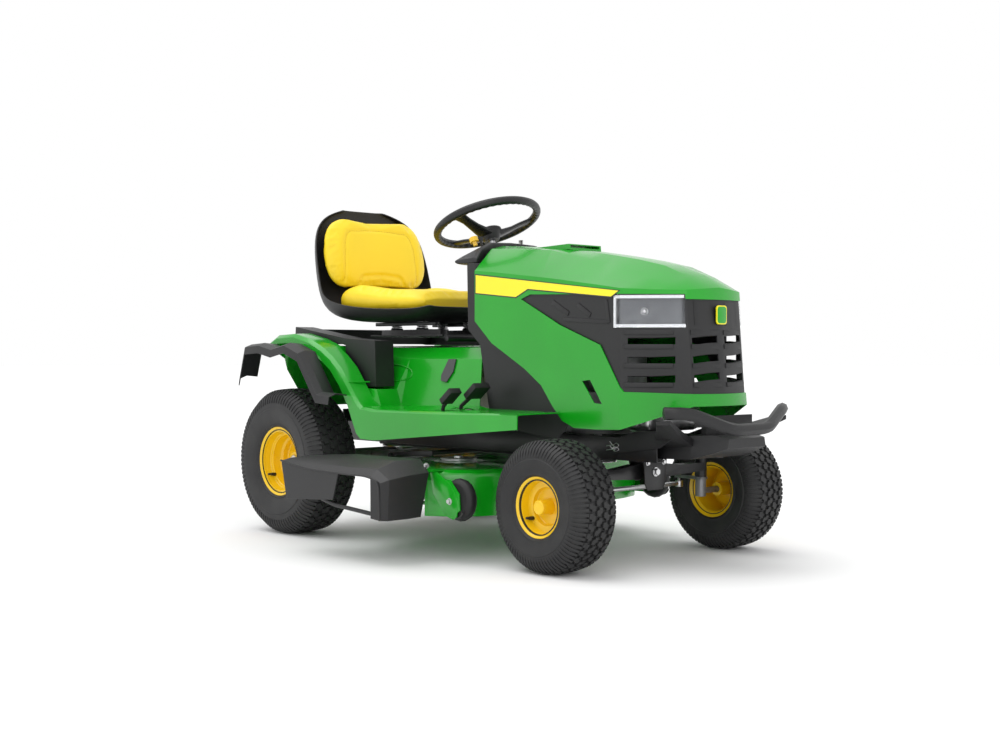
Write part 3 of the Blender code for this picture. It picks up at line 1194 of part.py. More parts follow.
def build_gauge_wheel(side):
    """A roller on its own axle bolt that keeps the deck from scalping the lawn."""
    at = GAUGE_PLACES[side]
    body = "gauge_wheel_" + side
    pivot(body, at, "deck")
    half = GAUGE_WHEEL_WIDTH / 2
    profile = [(0.0, half), (GAUGE_WHEEL_RADIUS - 0.014, half), (GAUGE_WHEEL_RADIUS - 0.003, half * 0.55),
               (GAUGE_WHEEL_RADIUS, 0.0), (GAUGE_WHEEL_RADIUS - 0.003, -half * 0.55),
               (GAUGE_WHEEL_RADIUS - 0.014, -half), (0.0, -half)]
    turned(body, profile, body, BLACK_PLASTIC, at, "x" if side == "left" else "-x", 18)


def build_blade(side, place):
    """A mulching blade with lifted trailing ends, clamped under its spindle."""
    body = "blade_" + side
    pivot(body, place, "deck")
    half, width = BLADE_LENGTH / 2, BLADE_WIDTH / 2
    bm = bmesh.new()
    add_box(bm, place + Vector((-half, -width, 0.0)), place + Vector((half, width, BLADE_THICKNESS)))
    blade = piece(body, finished(bm, body), body, BARE_STEEL)
    for name, sign in (("first", -1), ("second", 1)):
        fold, tip = place.y + sign * (width - 0.010), place.y + sign * (width + 0.010)
        wing = [(fold, place.z + 0.0004), (tip, place.z + BLADE_LIFT), (tip - sign * 0.005, place.z + BLADE_LIFT + 0.003),
                (fold - sign * 0.006, place.z + 0.0046)]
        low, high = sorted((place.x + sign * (half - 0.090), place.x + sign * (half - 0.0006)))
        merged(blade, cutter(f"blade_wing_{side}_{name}", prism_mesh("wing", wing, "x", low, high)))
    bolt = rod_mesh("bolt", Vector(place) + Vector((0, 0, -0.010)), Vector(place) + Vector((0, 0, 0.002)), 0.014, 6)
    merged(blade, cutter("blade_bolt_" + side, bolt))
    shaft_bottom = BLADE_THICKNESS + GAP
    top = DECK_TOP - place.z + 0.012
    pulley = [
        (0.0, top + 0.012), (0.014, top + 0.012), (0.014, top + 0.006), (0.060, top + 0.006),
        (0.060, top + 0.004), (0.051, top - 0.0005), (0.060, top - 0.005), (0.060, top - 0.007),
        (SPINDLE_RADIUS, top - 0.007), (SPINDLE_RADIUS, shaft_bottom + 0.012), (0.024, shaft_bottom + 0.008),
        (0.024, shaft_bottom), (0.0, shaft_bottom),
    ]
    turned("pulley_" + side, pulley, body, BARE_STEEL, place, segments=14)


def build_chute():
    """Moulded deflector: a ridged top, a front wall that wraps its corner, and a flap along its outer edge."""
    pivot("chute", (CHUTE_HINGE_X, 0.0, CHUTE_HINGE_Z), "deck")
    tip = CHUTE_TIP_X
    near = tip + 0.026
    inner = CHUTE_HINGE_X + 0.004
    top = [
        [(inner - 0.012, -0.246, 0.268), (-0.600, -0.247, 0.264), (near, -0.243, 0.254), (tip + 0.003, -0.232, 0.246)],
        [(inner, -0.192, 0.304), (-0.605, -0.190, 0.304), (near, -0.186, 0.282), (tip, -0.186, 0.262)],
        [(inner, -0.029, 0.304), (-0.600, -0.029, 0.303), (near, -0.029, 0.280), (tip, -0.029, 0.262)],
        [(inner, 0.127, 0.302), (-0.600, 0.127, 0.302), (near, 0.127, 0.284), (tip, 0.127, 0.266)],
        [(inner, 0.215, 0.296), (-0.600, 0.240, 0.298), (near, 0.262, 0.291), (tip, 0.272, 0.283)],
    ]
    brow = [*top[0], top[1][3]]
    foot = [(inner - 0.037, -0.238, 0.138), (-0.600, -0.240, 0.136), (near, -0.236, 0.135), (tip + 0.006, -0.226, 0.136),
            (tip + 0.001, -0.186, 0.140)]
    edge = [row[3] for row in top[2:]]
    hem = [(tip + 0.001, 0.000, 0.180), (tip + 0.001, 0.127, 0.172), (tip + 0.001, 0.246, 0.166)]
    mesh = skin_mesh("discharge_chute", [top, [brow, foot], [edge, hem]])
    chute = piece("discharge_chute", mesh, "chute", BLACK_PLASTIC)
    solidify(chute, PLASTIC)


# ---------------------------------------------------------------- lift gear

def build_lift_gear():
    """A cross shaft under the rails with two arms, and the hand lever on the operator's left."""
    pivot("lift_gear", (0.0, LIFT_SHAFT_Y, LIFT_SHAFT_Z), "chassis")
    bm = bmesh.new()
    add_rod(bm, (-0.215, LIFT_SHAFT_Y, LIFT_SHAFT_Z),
            (LIFT_LEVER_X - 0.008 - GAP, LIFT_SHAFT_Y, LIFT_SHAFT_Z), 0.009, 12)
    shaft = piece("lift_shaft", finished(bm, "lift_shaft"), "lift_gear", BLACK_PAINT)
    for name, sign in (("right", -1), ("left", 1)):
        x = sign * 0.200
        tip = LIFT_SHAFT_Y - LIFT_ARM
        outline = [(LIFT_SHAFT_Y + 0.014, LIFT_SHAFT_Z - 0.010), (LIFT_SHAFT_Y + 0.014, LIFT_SHAFT_Z + 0.012),
                   (tip, LIFT_SHAFT_Z + 0.026), (tip, LIFT_SHAFT_Z + 0.008), (LIFT_SHAFT_Y - 0.022, LIFT_SHAFT_Z + 0.003)]
        merged(shaft, cutter("lift_arm_" + name, prism_mesh("arm", outline, "x", x - 0.003, x + 0.003)))
    bm = bmesh.new()
    add_rod(bm, (LIFT_LEVER_X - 0.008, LIFT_SHAFT_Y, LIFT_SHAFT_Z),
            (LIFT_LEVER_X + 0.008, LIFT_SHAFT_Y, LIFT_SHAFT_Z), 0.018, 16)
    lever = piece("lift_lever", finished(bm, "lift_lever"), "lift_gear", BLACK_PAINT)
    stalk = rod_mesh("stalk", (LIFT_LEVER_X, LIFT_SHAFT_Y, LIFT_SHAFT_Z), (LIFT_LEVER_X, 0.388, 0.680), 0.006, 12)
    grip = rod_mesh("grip", (LIFT_LEVER_X, 0.388, 0.680), (LIFT_LEVER_X, 0.398, 0.780), 0.013, 12)
    merged(lever, cutter("lift_lever_stalk", stalk), cutter("lift_lever_grip", grip))


# ---------------------------------------------------------------- controls

def build_pedal(name, x, foot_y, pad_y, pad_z, pad_width):
    """A pad on a bent stem that rocks on a pin under the foot platform."""
    pivot(name, (x, PEDAL_AXIS_Y, PEDAL_AXIS_Z), "chassis")
    bm = bmesh.new()
    lean = Matrix.Translation((x, pad_y, pad_z)) @ Matrix.Rotation(math.radians(-38), 4, "X")
    bmesh.ops.create_cube(bm, size=1.0, matrix=lean @ Matrix.Diagonal((pad_width, 0.058, 0.018, 1.0)))
    pedal = piece(name, finished(bm, name), name, RUBBER)
    path = [(x, PEDAL_AXIS_Y, PEDAL_AXIS_Z), (x, foot_y + 0.022, 0.406), (x, foot_y, 0.424),
            (x, foot_y - 0.008, 0.455), (x, pad_y, pad_z)]
    stem = tube_mesh("stem", path, PEDAL_STEM, smooth=False, resolution=1)
    boss = rod_mesh("boss", (x - 0.010, PEDAL_AXIS_Y, PEDAL_AXIS_Z), (x + 0.010, PEDAL_AXIS_Y, PEDAL_AXIS_Z), 0.012)
    merged(pedal, cutter(name + "_stem", stem), cutter(name + "_boss", boss))


def pedal_slot_mesh(x, foot_y):
    """Room in the platform for the stem from rest to pressed down."""
    side = PEDAL_STEM + PEDAL_CLEARANCE
    return box_mesh("slot", (x - side, foot_y - PEDAL_SWEEP, 0.42), (x + side, foot_y + 0.030, 0.47))


def dash_point(x, y):
    """A point on the dash's sloping face, which falls from its front ridge to its rear edge."""
    return Vector((x, y, 0.984 + (y + 0.030) * (0.942 - 0.984) / 0.090))


DASH_NORMAL = Vector((0.0, 0.042, 0.090)).normalized()


def build_dash_controls():
    place = dash_point(-0.085, 0.012)
    pivot("throttle_lever", place, "chassis")
    bm = bmesh.new()
    add_rod(bm, place + DASH_NORMAL * 0.0030, place + DASH_NORMAL * 0.034, 0.004, 8)
    lever = piece("throttle_lever", finished(bm, "throttle_lever"), "throttle_lever", BLACK_PLASTIC)
    tip = place + DASH_NORMAL * 0.034
    merged(lever, cutter("throttle_grip", box_mesh("grip", tip - Vector((0.010, 0.006, 0.008)),
                                                   tip + Vector((0.010, 0.006, 0.008)))))
    place = dash_point(-0.135, -0.012) + Vector((0, 0, -0.012))
    pivot("pto_knob", place, "chassis")
    bm = bmesh.new()
    add_rod(bm, place + DASH_NORMAL * 0.004, place + DASH_NORMAL * 0.020, 0.007, 10)
    knob = piece("pto_knob", finished(bm, "pto_knob"), "pto_knob", YELLOW_PAINT)
    merged(knob, cutter("pto_cap", rod_mesh("cap", place + DASH_NORMAL * 0.018, place + DASH_NORMAL * 0.034, 0.015, 12)))
    place = dash_point(0.090, 0.012)
    pivot("ignition_key", place, "chassis")
    bm = bmesh.new()
    add_rod(bm, place + DASH_NORMAL * 0.0012, place + DASH_NORMAL * 0.010, 0.009, 12)
    key = piece("ignition_key", finished(bm, "ignition_key"), "ignition_key", BARE_STEEL)
    blade_low = place + DASH_NORMAL * 0.006 + Vector((-0.0015, -0.010, 0.0))
    merged(key, cutter("key_bow", box_mesh("bow", blade_low, blade_low + Vector((0.003, 0.020, 0.030)))))


# ---------------------------------------------------------------- bumper


def build_bumper():
    """A bent tube that dips in the middle, on a bracket from the frame."""
    half = [(0.0, BUMPER_NOSE_Y, BUMPER_DIP_Z), (0.0786, BUMPER_NOSE_Y + 0.002, BUMPER_DIP_Z),
            (0.205, -0.968, BUMPER_END_Z - 0.001), (0.267, -0.927, BUMPER_END_Z)]
    path = [(-x, y, z) for x, y, z in reversed(half[1:])] + half
    mesh = tube_mesh("bumper", rounded_path(path, 0.030), BUMPER_RADIUS, smooth=False, resolution=2)
    piece("bumper", mesh, "chassis", BLACK_PLASTIC)


def rounded_path(points, radius, steps=3):
    """A bent centre line: each inner corner gives way to a short arc of straight steps."""
    path = [Vector(points[0])]
    for before, here, after in zip(points, points[1:], points[2:]):
        here = Vector(here)
        start = here + (Vector(before) - here).normalized() * radius
        end = here + (Vector(after) - here).normalized() * radius
        for i in range(steps + 1):
            t = i / steps
            path.append((1 - t) ** 2 * start + 2 * t * (1 - t) * here + t ** 2 * end)
    path.append(Vector(points[-1]))
    return path


# The bracket's sections from the rails to under the bumper: y, half width, underside and top.
BRACKET_STATIONS = [
    (-0.690, 0.1175, 0.318, 0.364), (-0.800, 0.1175, 0.318, 0.370), (-0.890, 0.1150, 0.321, 0.388),
    (-0.960, 0.1000, 0.340, 0.390), (-1.002, 0.0860, 0.356, 0.382),
]
# Its cheek along the outside of each rail: y and z.
BRACKET_CHEEK = [(-0.640, 0.327), (-0.624, 0.362), (-0.729, 0.396), (-0.870, 0.402), (-0.870, 0.384), (-0.812, 0.350)]


def build_bumper_bracket():
    """A faceted tray between the rails, a strut up to each end of the bumper, and the valance under the nose."""
    rows = [[(-half, y, low), (half, y, low), (half * 0.93, y, high), (-half * 0.93, y, high)]
            for y, half, low, high in BRACKET_STATIONS]
    bracket = piece("bumper_bracket", solid_loft_mesh("bumper_bracket", rows), "chassis", BLACK_PLASTIC)
    under = BUMPER_END_Z - BUMPER_RADIUS - BUMPER_CLEARANCE
    for name, sign in (("right", -1), ("left", 1)):
        strut = solid_loft_mesh("strut", [
            [(sign * 0.098, -0.895, 0.352), (sign * 0.098, RAIL_FRONT - 0.004, 0.345),
             (sign * 0.098, RAIL_FRONT - 0.004, 0.362), (sign * 0.098, -0.895, 0.374)],
            [(sign * 0.160, -0.905, 0.382), (sign * 0.160, RAIL_FRONT - 0.004, 0.376),
             (sign * 0.160, RAIL_FRONT - 0.004, 0.394), (sign * 0.160, -0.905, 0.400)],
            [(sign * 0.262, -0.945, under - 0.012), (sign * 0.262, -0.895, under - 0.014),
             (sign * 0.262, -0.895, under - 0.004), (sign * 0.262, -0.945, under)],
        ])
        near, far = sorted((sign * (RAIL_OUTER_X + GAP), sign * (RAIL_OUTER_X + 0.006)))
        cheek = prism_mesh("cheek", BRACKET_CHEEK, "x", near, far)
        merged(bracket, cutter("bumper_strut_" + name, strut), cutter("bumper_cheek_" + name, cheek))
    valance = box_mesh("valance", (-0.127, -0.923, 0.412), (0.127, -0.917, HOOD_HINGE.z - 0.0095))
    web = box_mesh("web", (-0.080, -0.922, 0.370), (0.080, -0.904, 0.424))
    merged(bracket, cutter("nose_valance", valance), cutter("valance_web", web))


# ---------------------------------------------------------------- assembly


def build_all():
    root_pivot()
    for side in ("right", "left"):
        build_rail(side)
    build_front_crossmember()
    build_hitch_plate()
    build_engine()
    build_engine_pulley()
    build_transaxle()
    build_drive_belt()
    build_muffler()
    build_fuel_tank()
    build_battery()
    build_axle_beam()
    for side in ("right", "left"):
        build_spindle(side)
        build_wheel("front", side, FRONT_WHEEL, FRONT_AXLE_Y, FRONT_AXLE_Z, "spindle_" + side)
        build_wheel("rear", side, REAR_WHEEL, REAR_AXLE_Y, REAR_AXLE_Z, "chassis")
    build_tie_rod()
    build_steering_wheel()
    build_steering_shaft()
    build_hood()
    build_grille()
    build_lamps()
    build_badge()
    build_pedestal()
    build_dash()
    build_fender_deck()
    build_seat_surround()
    build_fuel_window()
    build_seat_base()
    build_seat()
    build_deck_shell()
    build_chute()
    for side, place in (("right", BLADE_RIGHT), ("left", BLADE_LEFT)):
        build_rear_guard(side)
        build_blade(side, place)
        build_gauge_wheel(side)
    build_lift_gear()
    for pedal in PEDALS:
        build_pedal(*pedal)
    build_dash_controls()
    build_bumper()
    build_bumper_bracket()


build_all()
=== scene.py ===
"""Looks of a riding lawn mower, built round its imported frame, laid out as a Blender add-on."""

import json
import math

import bmesh
import bpy
from mathutils import Matrix, Vector
from mathutils.bvhtree import BVHTree

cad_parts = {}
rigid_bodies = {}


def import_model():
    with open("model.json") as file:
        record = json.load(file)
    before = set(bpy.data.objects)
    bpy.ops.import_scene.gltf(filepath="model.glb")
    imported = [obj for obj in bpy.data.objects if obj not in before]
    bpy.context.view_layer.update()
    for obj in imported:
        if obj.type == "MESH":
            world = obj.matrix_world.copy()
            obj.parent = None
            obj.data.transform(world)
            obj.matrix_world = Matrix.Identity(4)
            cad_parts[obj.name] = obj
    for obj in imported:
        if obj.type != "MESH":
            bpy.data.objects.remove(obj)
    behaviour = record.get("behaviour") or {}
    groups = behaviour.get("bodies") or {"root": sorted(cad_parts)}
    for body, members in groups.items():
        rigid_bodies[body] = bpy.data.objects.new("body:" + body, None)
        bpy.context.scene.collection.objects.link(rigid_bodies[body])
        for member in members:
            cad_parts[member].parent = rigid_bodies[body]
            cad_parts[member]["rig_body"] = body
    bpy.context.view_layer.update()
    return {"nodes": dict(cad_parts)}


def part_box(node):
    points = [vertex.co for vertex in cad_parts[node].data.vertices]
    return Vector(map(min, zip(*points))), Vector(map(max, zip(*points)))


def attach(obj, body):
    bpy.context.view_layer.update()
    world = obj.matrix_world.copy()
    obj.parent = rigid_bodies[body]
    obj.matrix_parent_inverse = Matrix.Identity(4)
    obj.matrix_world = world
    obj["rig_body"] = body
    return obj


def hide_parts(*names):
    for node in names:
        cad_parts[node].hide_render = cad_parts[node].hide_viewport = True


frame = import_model()

bl_info = {
    "name": "Riding Lawn Mower Looks",
    "version": (1, 0, 0),
    "blender": (4, 5, 0),
    "location": "3D View > Sidebar > Mower",
    "description": "Builds the finished surfaces of a riding lawn mower on its frame",
    "category": "Object",
}


def middle(node):
    """The middle of a node's box."""
    low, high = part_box(node)
    return (low + high) / 2


# The tractor's own frame has its centre plane at x = 0 and y = 0 half way between the axles.
# Shapes are worked out in it, and HOME carries them to the frame's own place.
HOME = Vector((
    (middle("frame_rail_right").x + middle("frame_rail_left").x) / 2,
    (middle("front_tyre_right").y + middle("rear_tyre_right").y) / 2,
    0.0,
))
NODES = frame["nodes"]

WELD = 0.00002  # points of a plain node this close are one
FLAT = math.radians(1.0)  # faces of a plain node that differ by less are one face
LEAST_BROKEN = 18  # degrees between two faces, under which their edge isn't broken


# ---------------------------------------------------------------- shader expressions


class Socket:
    """A node's output, or a number, that can be used in arithmetic."""

    def __init__(self, shading, link):
        self.shading, self.link = shading, link

    def math(self, operation, other):
        return self.shading.node("ShaderNodeMath", {"operation": operation}, {0: self, 1: other})

    def __add__(self, other):
        return self.math("ADD", other)

    def __mul__(self, other):
        return self.math("MULTIPLY", other)

    def between(self, low, high):
        """Nought below low, one above high, smooth between."""
        return self.shading.node(
            "ShaderNodeMapRange", {"interpolation_type": "SMOOTHSTEP"},
            {"Value": self, "From Min": low, "From Max": high})


class Shading:
    """One material and the nodes that make it."""

    def __init__(self, name):
        self.material = bpy.data.materials.new(name)
        self.material.use_nodes = True
        self.tree = self.material.node_tree
        self.shader = self.tree.nodes["Principled BSDF"]
        self.place = self.node("ShaderNodeTexCoord", out="Object")

    def put(self, socket, value):
        if isinstance(value, Socket):
            self.tree.links.new(value.link, socket)
        elif hasattr(value, "__len__") and len(value) == 3 and socket.type == "RGBA":
            socket.default_value = (*value, 1.0)
        else:
            socket.default_value = value

    def node(self, kind, settings=None, values=None, out=0):
        """Any node: its settings, then its sockets' numbers or links, then the output that is used."""
        made = self.tree.nodes.new(kind)
        for key, value in (settings or {}).items():
            setattr(made, key, value)
        for key, value in (values or {}).items():
            self.put(made.inputs[key], value)
        return Socket(self, made.outputs[out])

    def noise(self, scale, detail=3.0, where=None):
        """Cloudy noise, from 0 to 1."""
        return self.node("ShaderNodeTexNoise", None, {
            "Vector": where or self.place, "Scale": scale, "Detail": detail, "Roughness": 0.5})

    def cells(self, scale, feature="F1"):
        """Distance to the nearest of a scatter of points."""
        return self.node("ShaderNodeTexVoronoi", {"feature": feature}, {
            "Vector": self.place, "Scale": scale}, "Distance")

    def stretched(self, factors):
        """The place on the piece, scaled along each axis."""
        return self.node("ShaderNodeMapping", None, {"Vector": self.place, "Scale": factors})

    def mix(self, share, first, second):
        """A colour between two others."""
        made = self.tree.nodes.new("ShaderNodeMix")
        made.data_type = "RGBA"
        for index, value in ((0, share), (6, first), (7, second)):
            self.put(made.inputs[index], value)
        return Socket(self, made.outputs[2])

    def bump(self, height, distance):
        """A relief of this height in metres."""
        return self.node("ShaderNodeBump", None, {"Height": height, "Distance": distance, "Strength": 1.0})

    def finish(self, **values):
        """Sets the surface's sockets, whose names are written with underscores."""
        for key, value in values.items():
            self.put(self.shader.inputs[key.replace("_", " ")], value)
        return self.material


def shade(colour, factor):
    """A colour made darker or lighter."""
    return tuple(min(channel * factor, 1.0) for channel in colour)


# ---------------------------------------------------------------- finishes


def sheet_paint(name, colour):
    """Baked enamel: a clear coat over colour that drifts slightly, with a faint orange peel."""
    s = Shading(name)
    drift = s.noise(5.0, 2.0).between(0.3, 0.7)
    peel = s.noise(420.0, 2.0)
    return s.finish(
        Base_Color=s.mix(drift, shade(colour, 0.95), shade(colour, 1.05)),
        Roughness=s.noise(60.0) * 0.08 + 0.16, Coat_Weight=0.22, Coat_Roughness=0.06,
        Normal=s.bump(peel, 0.00012))


def rim_enamel(name, colour):
    """Thicker, softer enamel on pressed wheels, with a little dust in the low places."""
    s = Shading(name)
    dust = s.noise(35.0, 4.0).between(0.45, 0.85)
    return s.finish(
        Base_Color=s.mix(dust * 0.35, colour, shade(colour, 0.80)),
        Roughness=dust * 0.10 + 0.30, Coat_Weight=0.25, Coat_Roughness=0.15,
        Normal=s.bump(s.noise(300.0, 2.0), 0.00015))


def moulded_plastic(name, colour, grain=900.0, roughness=0.46):
    """Injection-moulded plastic with a fine spark-eroded grain."""
    s = Shading(name)
    speckle = s.cells(grain)
    cloud = s.noise(9.0, 3.0)
    return s.finish(
        Base_Color=s.mix(cloud, shade(colour, 0.86), shade(colour, 1.14)),
        Roughness=speckle * 0.10 + (roughness - 0.04),
        Normal=s.bump(speckle, 0.00014))


def satin_steel_paint(name, colour):
    """Satin paint over hot-rolled steel: a slight ripple and dull patches."""
    s = Shading(name)
    ripple = s.noise(45.0, 4.0)
    return s.finish(
        Base_Color=s.mix(ripple, shade(colour, 0.80), shade(colour, 1.30)),
        Roughness=ripple * 0.20 + 0.30, Coat_Weight=0.15, Coat_Roughness=0.25,
        Normal=s.bump(s.noise(220.0, 3.0), 0.0002))


def tyre_rubber(name, colour, worn):
    """Matt tread rubber, a shade lighter and rougher where it meets the ground."""
    s = Shading(name)
    bloom = s.noise(14.0, 4.0).between(0.35, 0.75)
    pores = s.noise(700.0, 3.0)
    return s.finish(
        Base_Color=s.mix(bloom, colour, worn), Roughness=pores * 0.14 + 0.52,
        Normal=s.bump(pores, 0.0002))


def vinyl(name, colour):
    """Seat vinyl: rounded leather grain in two sizes under a soft sheen."""
    s = Shading(name)
    pebbles = s.cells(420.0, "SMOOTH_F1")
    fine = s.noise(1500.0, 2.0)
    shading_drift = s.noise(7.0, 3.0)
    return s.finish(
        Base_Color=s.mix(shading_drift, shade(colour, 0.95), shade(colour, 1.04)),
        Roughness=pebbles * 0.16 + 0.40, Normal=s.bump(pebbles + fine * 0.25, 0.00022))


def zinc_plate(name, colour):
    """Bright zinc or ground steel, with fine drawn lines."""
    s = Shading(name)
    lines = s.noise(1.0, 3.0, s.stretched((900.0, 60.0, 900.0)))
    return s.finish(
        Base_Color=s.mix(lines, shade(colour, 0.84), shade(colour, 1.08)), Metallic=1.0,
        Roughness=lines * 0.16 + 0.22, Normal=s.bump(lines, 0.00005))


def sand_casting(name, colour):
    """Cast alloy: a pitted skin, darker in its hollows."""
    s = Shading(name)
    skin = s.noise(380.0, 5.0)
    stain = s.noise(18.0, 3.0).between(0.4, 0.8)
    return s.finish(
        Base_Color=s.mix(stain, colour, shade(colour, 0.62)), Metallic=0.85,
        Roughness=skin * 0.22 + 0.42, Normal=s.bump(skin, 0.0006))


def clear_polycarbonate(name, tint):
    """A moulded lamp lens: clear, with a faint flow ripple."""
    s = Shading(name)
    return s.finish(
        Base_Color=tint, Roughness=0.03, IOR=1.45, Transmission_Weight=1.0, Alpha=0.35,
        Normal=s.bump(s.noise(90.0, 1.0), 0.00010))


def mirror_reflector(name, tint):
    """Metallised plastic with upright flutes."""
    s = Shading(name)
    flutes = s.noise(2.0, 1.0, s.stretched((160.0, 160.0, 20.0)))
    return s.finish(Base_Color=tint, Metallic=0.75, Roughness=0.24, Normal=s.bump(flutes, 0.0010))


def milky_tank(name, tint):
    """Blow-moulded plastic that lets a little light in."""
    s = Shading(name)
    cloud = s.noise(30.0, 3.0)
    return s.finish(
        Base_Color=s.mix(cloud, shade(tint, 0.92), tint), Roughness=cloud * 0.15 + 0.35,
        Subsurface_Weight=0.25, Subsurface_Radius=(0.010, 0.009, 0.007),
        Normal=s.bump(s.noise(250.0, 2.0), 0.0001))


def gloss_decal(name, colour):
    """A smooth glossy film or a polished moulding."""
    s = Shading(name)
    drift = s.noise(40.0, 2.0)
    return s.finish(
        Base_Color=s.mix(drift, shade(colour, 0.97), colour), Roughness=drift * 0.06 + 0.22,
        Coat_Weight=0.4, Coat_Roughness=0.08, Normal=s.bump(drift, 0.00003))


def thread(name, colour):
    """Twisted sewing thread."""
    s = Shading(name)
    twist = s.node("ShaderNodeTexWave", None, {"Vector": s.place, "Scale": 320.0, "Distortion": 1.0})
    return s.finish(
        Base_Color=s.mix(twist, shade(colour, 0.75), colour), Roughness=0.75,
        Normal=s.bump(twist, 0.0002))


FINISHES = {}


def mix_finishes(look):
    """Makes every finish once, from the colours in the panel."""
    green, yellow, black = (tuple(c) for c in (look.green, look.rim_yellow, look.plastic))
    FINISHES.update({
        "green": sheet_paint("green_enamel", green),
        "rim": rim_enamel("wheel_enamel", yellow),
        "plastic": moulded_plastic("dark_moulding", black),
        # A darker copy of the moulding plastic, painted shade for parts that sit in shadow: the battery,
        # the gauge wheels, the blower screen and the tank cap.
        "shaded_plastic": moulded_plastic("shadowed_moulding", shade(black, 0.45), 700.0, 0.55),
        "wheel_grip": moulded_plastic("steering_grip", shade(black, 0.62), 1300.0, 0.40),
        "steel_paint": satin_steel_paint("black_frame_paint", (0.009, 0.009, 0.010)),
        "tyre": tyre_rubber("tread_rubber", (0.013, 0.013, 0.014), (0.021, 0.021, 0.021)),
        "pad": tyre_rubber("pedal_rubber", (0.009, 0.009, 0.010), (0.014, 0.014, 0.014)),
        "vinyl": vinyl("seat_vinyl", tuple(look.seat_yellow)),
        "zinc": zinc_plate("zinc_plate", (0.70, 0.70, 0.71)),
        "casting": sand_casting("cast_alloy", (0.33, 0.33, 0.34)),
        "lens": clear_polycarbonate("lamp_lens", (0.95, 0.97, 1.0)),
        "reflector": mirror_reflector("lamp_reflector", (0.86, 0.87, 0.89)),
        # A darker copy of the reflector, painted shade for the lamp's sunk bowl.
        "shaded_lamp_bowl": mirror_reflector("shaded_lamp_bowl", (0.17, 0.175, 0.185)),
        "smoke": gloss_decal("smoked_window", (0.030, 0.032, 0.034)),
        "tank": milky_tank("tank_plastic", (0.72, 0.70, 0.62)),
        "stripe": gloss_decal("stripe_yellow", tuple(look.stripe_yellow)),
        "stripe_edge": gloss_decal("stripe_black", (0.010, 0.010, 0.010)),
        "stitch": thread("seat_thread", (0.62, 0.40, 0.03)),
        "knob": gloss_decal("knob_yellow", (0.85, 0.52, 0.02)),
    })


# ---------------------------------------------------------------- making pieces


def shown(name, bm, finish, body, replaces=(), sharp=35.0, at_home=True):
    """Turns a bmesh into a finished piece that rides on a body, with its place in its mesh."""
    mesh = bpy.data.meshes.new(name)
    bm.to_mesh(mesh)
    bm.free()
    if at_home:
        mesh.transform(Matrix.Translation(HOME))
    mesh.shade_smooth()
    mesh.set_sharp_from_angle(angle=math.radians(sharp))
    mesh.materials.append(FINISHES[finish])
    obj = bpy.data.objects.new(name, mesh)
    bpy.context.scene.collection.objects.link(obj)
    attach(obj, body)
    if replaces:
        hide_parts(*replaces)
    return obj


def body_of(node):
    """The moving body that a plain node belongs to."""
    return NODES[node]["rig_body"]


def break_edges(bm, edges, width):
    """Rounds edges off."""
    bmesh.ops.bevel(bm, geom=list(edges), offset=width, affect="EDGES", segments=2, profile=0.5,
                    material=-1,
                    clamp_overlap=True)


def plain_form(node):
    """A plain node's mesh, with its flat faces whole again."""
    bm = bmesh.new()
    bm.from_mesh(NODES[node].data)
    bmesh.ops.remove_doubles(bm, verts=bm.verts, dist=WELD)
    bmesh.ops.dissolve_limit(bm, angle_limit=FLAT, verts=bm.verts, edges=bm.edges)
    return bm


def softened(node, finish, radius, sharp):
    """A plain node's form with its edges broken, in the plain node's place."""
    bm = plain_form(node)
    if radius:
        corner = math.radians(max(sharp, LEAST_BROKEN))
        break_edges(bm, [e for e in bm.edges
                         if len(e.link_faces) == 2 and e.calc_face_angle(0.0) > corner], radius)
    bmesh.ops.triangulate(bm, faces=[f for f in bm.faces if len(f.verts) > 4])
    return shown(node + "_form", bm, finish, body_of(node), (node,), sharp, at_home=False)


def cad_finish(node, finish):
    """Gives a CAD node that stays in view its finish."""
    obj = NODES[node]
    obj.data.materials.clear()
    obj.data.materials.append(FINISHES[finish])


def rod(bm, start, end, radius, segments=20, end_radius=None, bevel=0.0):
    """A round bar or cone from one point to another."""
    start, end = Vector(start), Vector(end)
    run = end - start
    matrix = Matrix.Translation((start + end) / 2) @ run.to_track_quat("Z", "Y").to_matrix().to_4x4()
    made = bmesh.ops.create_cone(
        bm, cap_ends=True, segments=segments, radius1=radius,
        radius2=radius if end_radius is None else end_radius, depth=run.length, matrix=matrix)
    if bevel:
        rims = {e for v in made["verts"] for e in v.link_edges if e.calc_face_angle(0.0) > 1.0}
        break_edges(bm, rims, bevel)


def block(bm, low, high, bevel, matrix):
    """A box between two corners, put in place by a matrix."""
    low, high = Vector(low), Vector(high)
    place = Matrix.Translation((low + high) / 2) @ Matrix.Diagonal((*(high - low), 1.0))
    made = bmesh.ops.create_cube(bm, size=1.0, matrix=matrix @ place)
    if bevel:
        break_edges(bm, {e for v in made["verts"] for e in v.link_edges}, bevel)


def plate(bm, outline, along, low, high, bevel=0.0):
    """A closed outline pushed along an axis, its edges broken."""
    index = "xyz".index(along)
    ends = []
    for point in outline:
        values = list(point)
        values.insert(index, low)
        ends.append(bm.verts.new(values))
    face = bm.faces.new(ends)
    out = bmesh.ops.extrude_face_region(bm, geom=[face])
    moved = [v for v in out["geom"] if isinstance(v, bmesh.types.BMVert)]
    shift = Vector((0.0, 0.0, 0.0))
    shift[index] = high - low
    bmesh.ops.translate(bm, verts=moved, vec=shift)
    verts = ends + moved
    faces = list({f for v in verts for f in v.link_faces})
    bmesh.ops.recalc_face_normals(bm, faces=faces)
    if bevel:
        break_edges(bm, {e for v in verts for e in v.link_edges}, bevel)


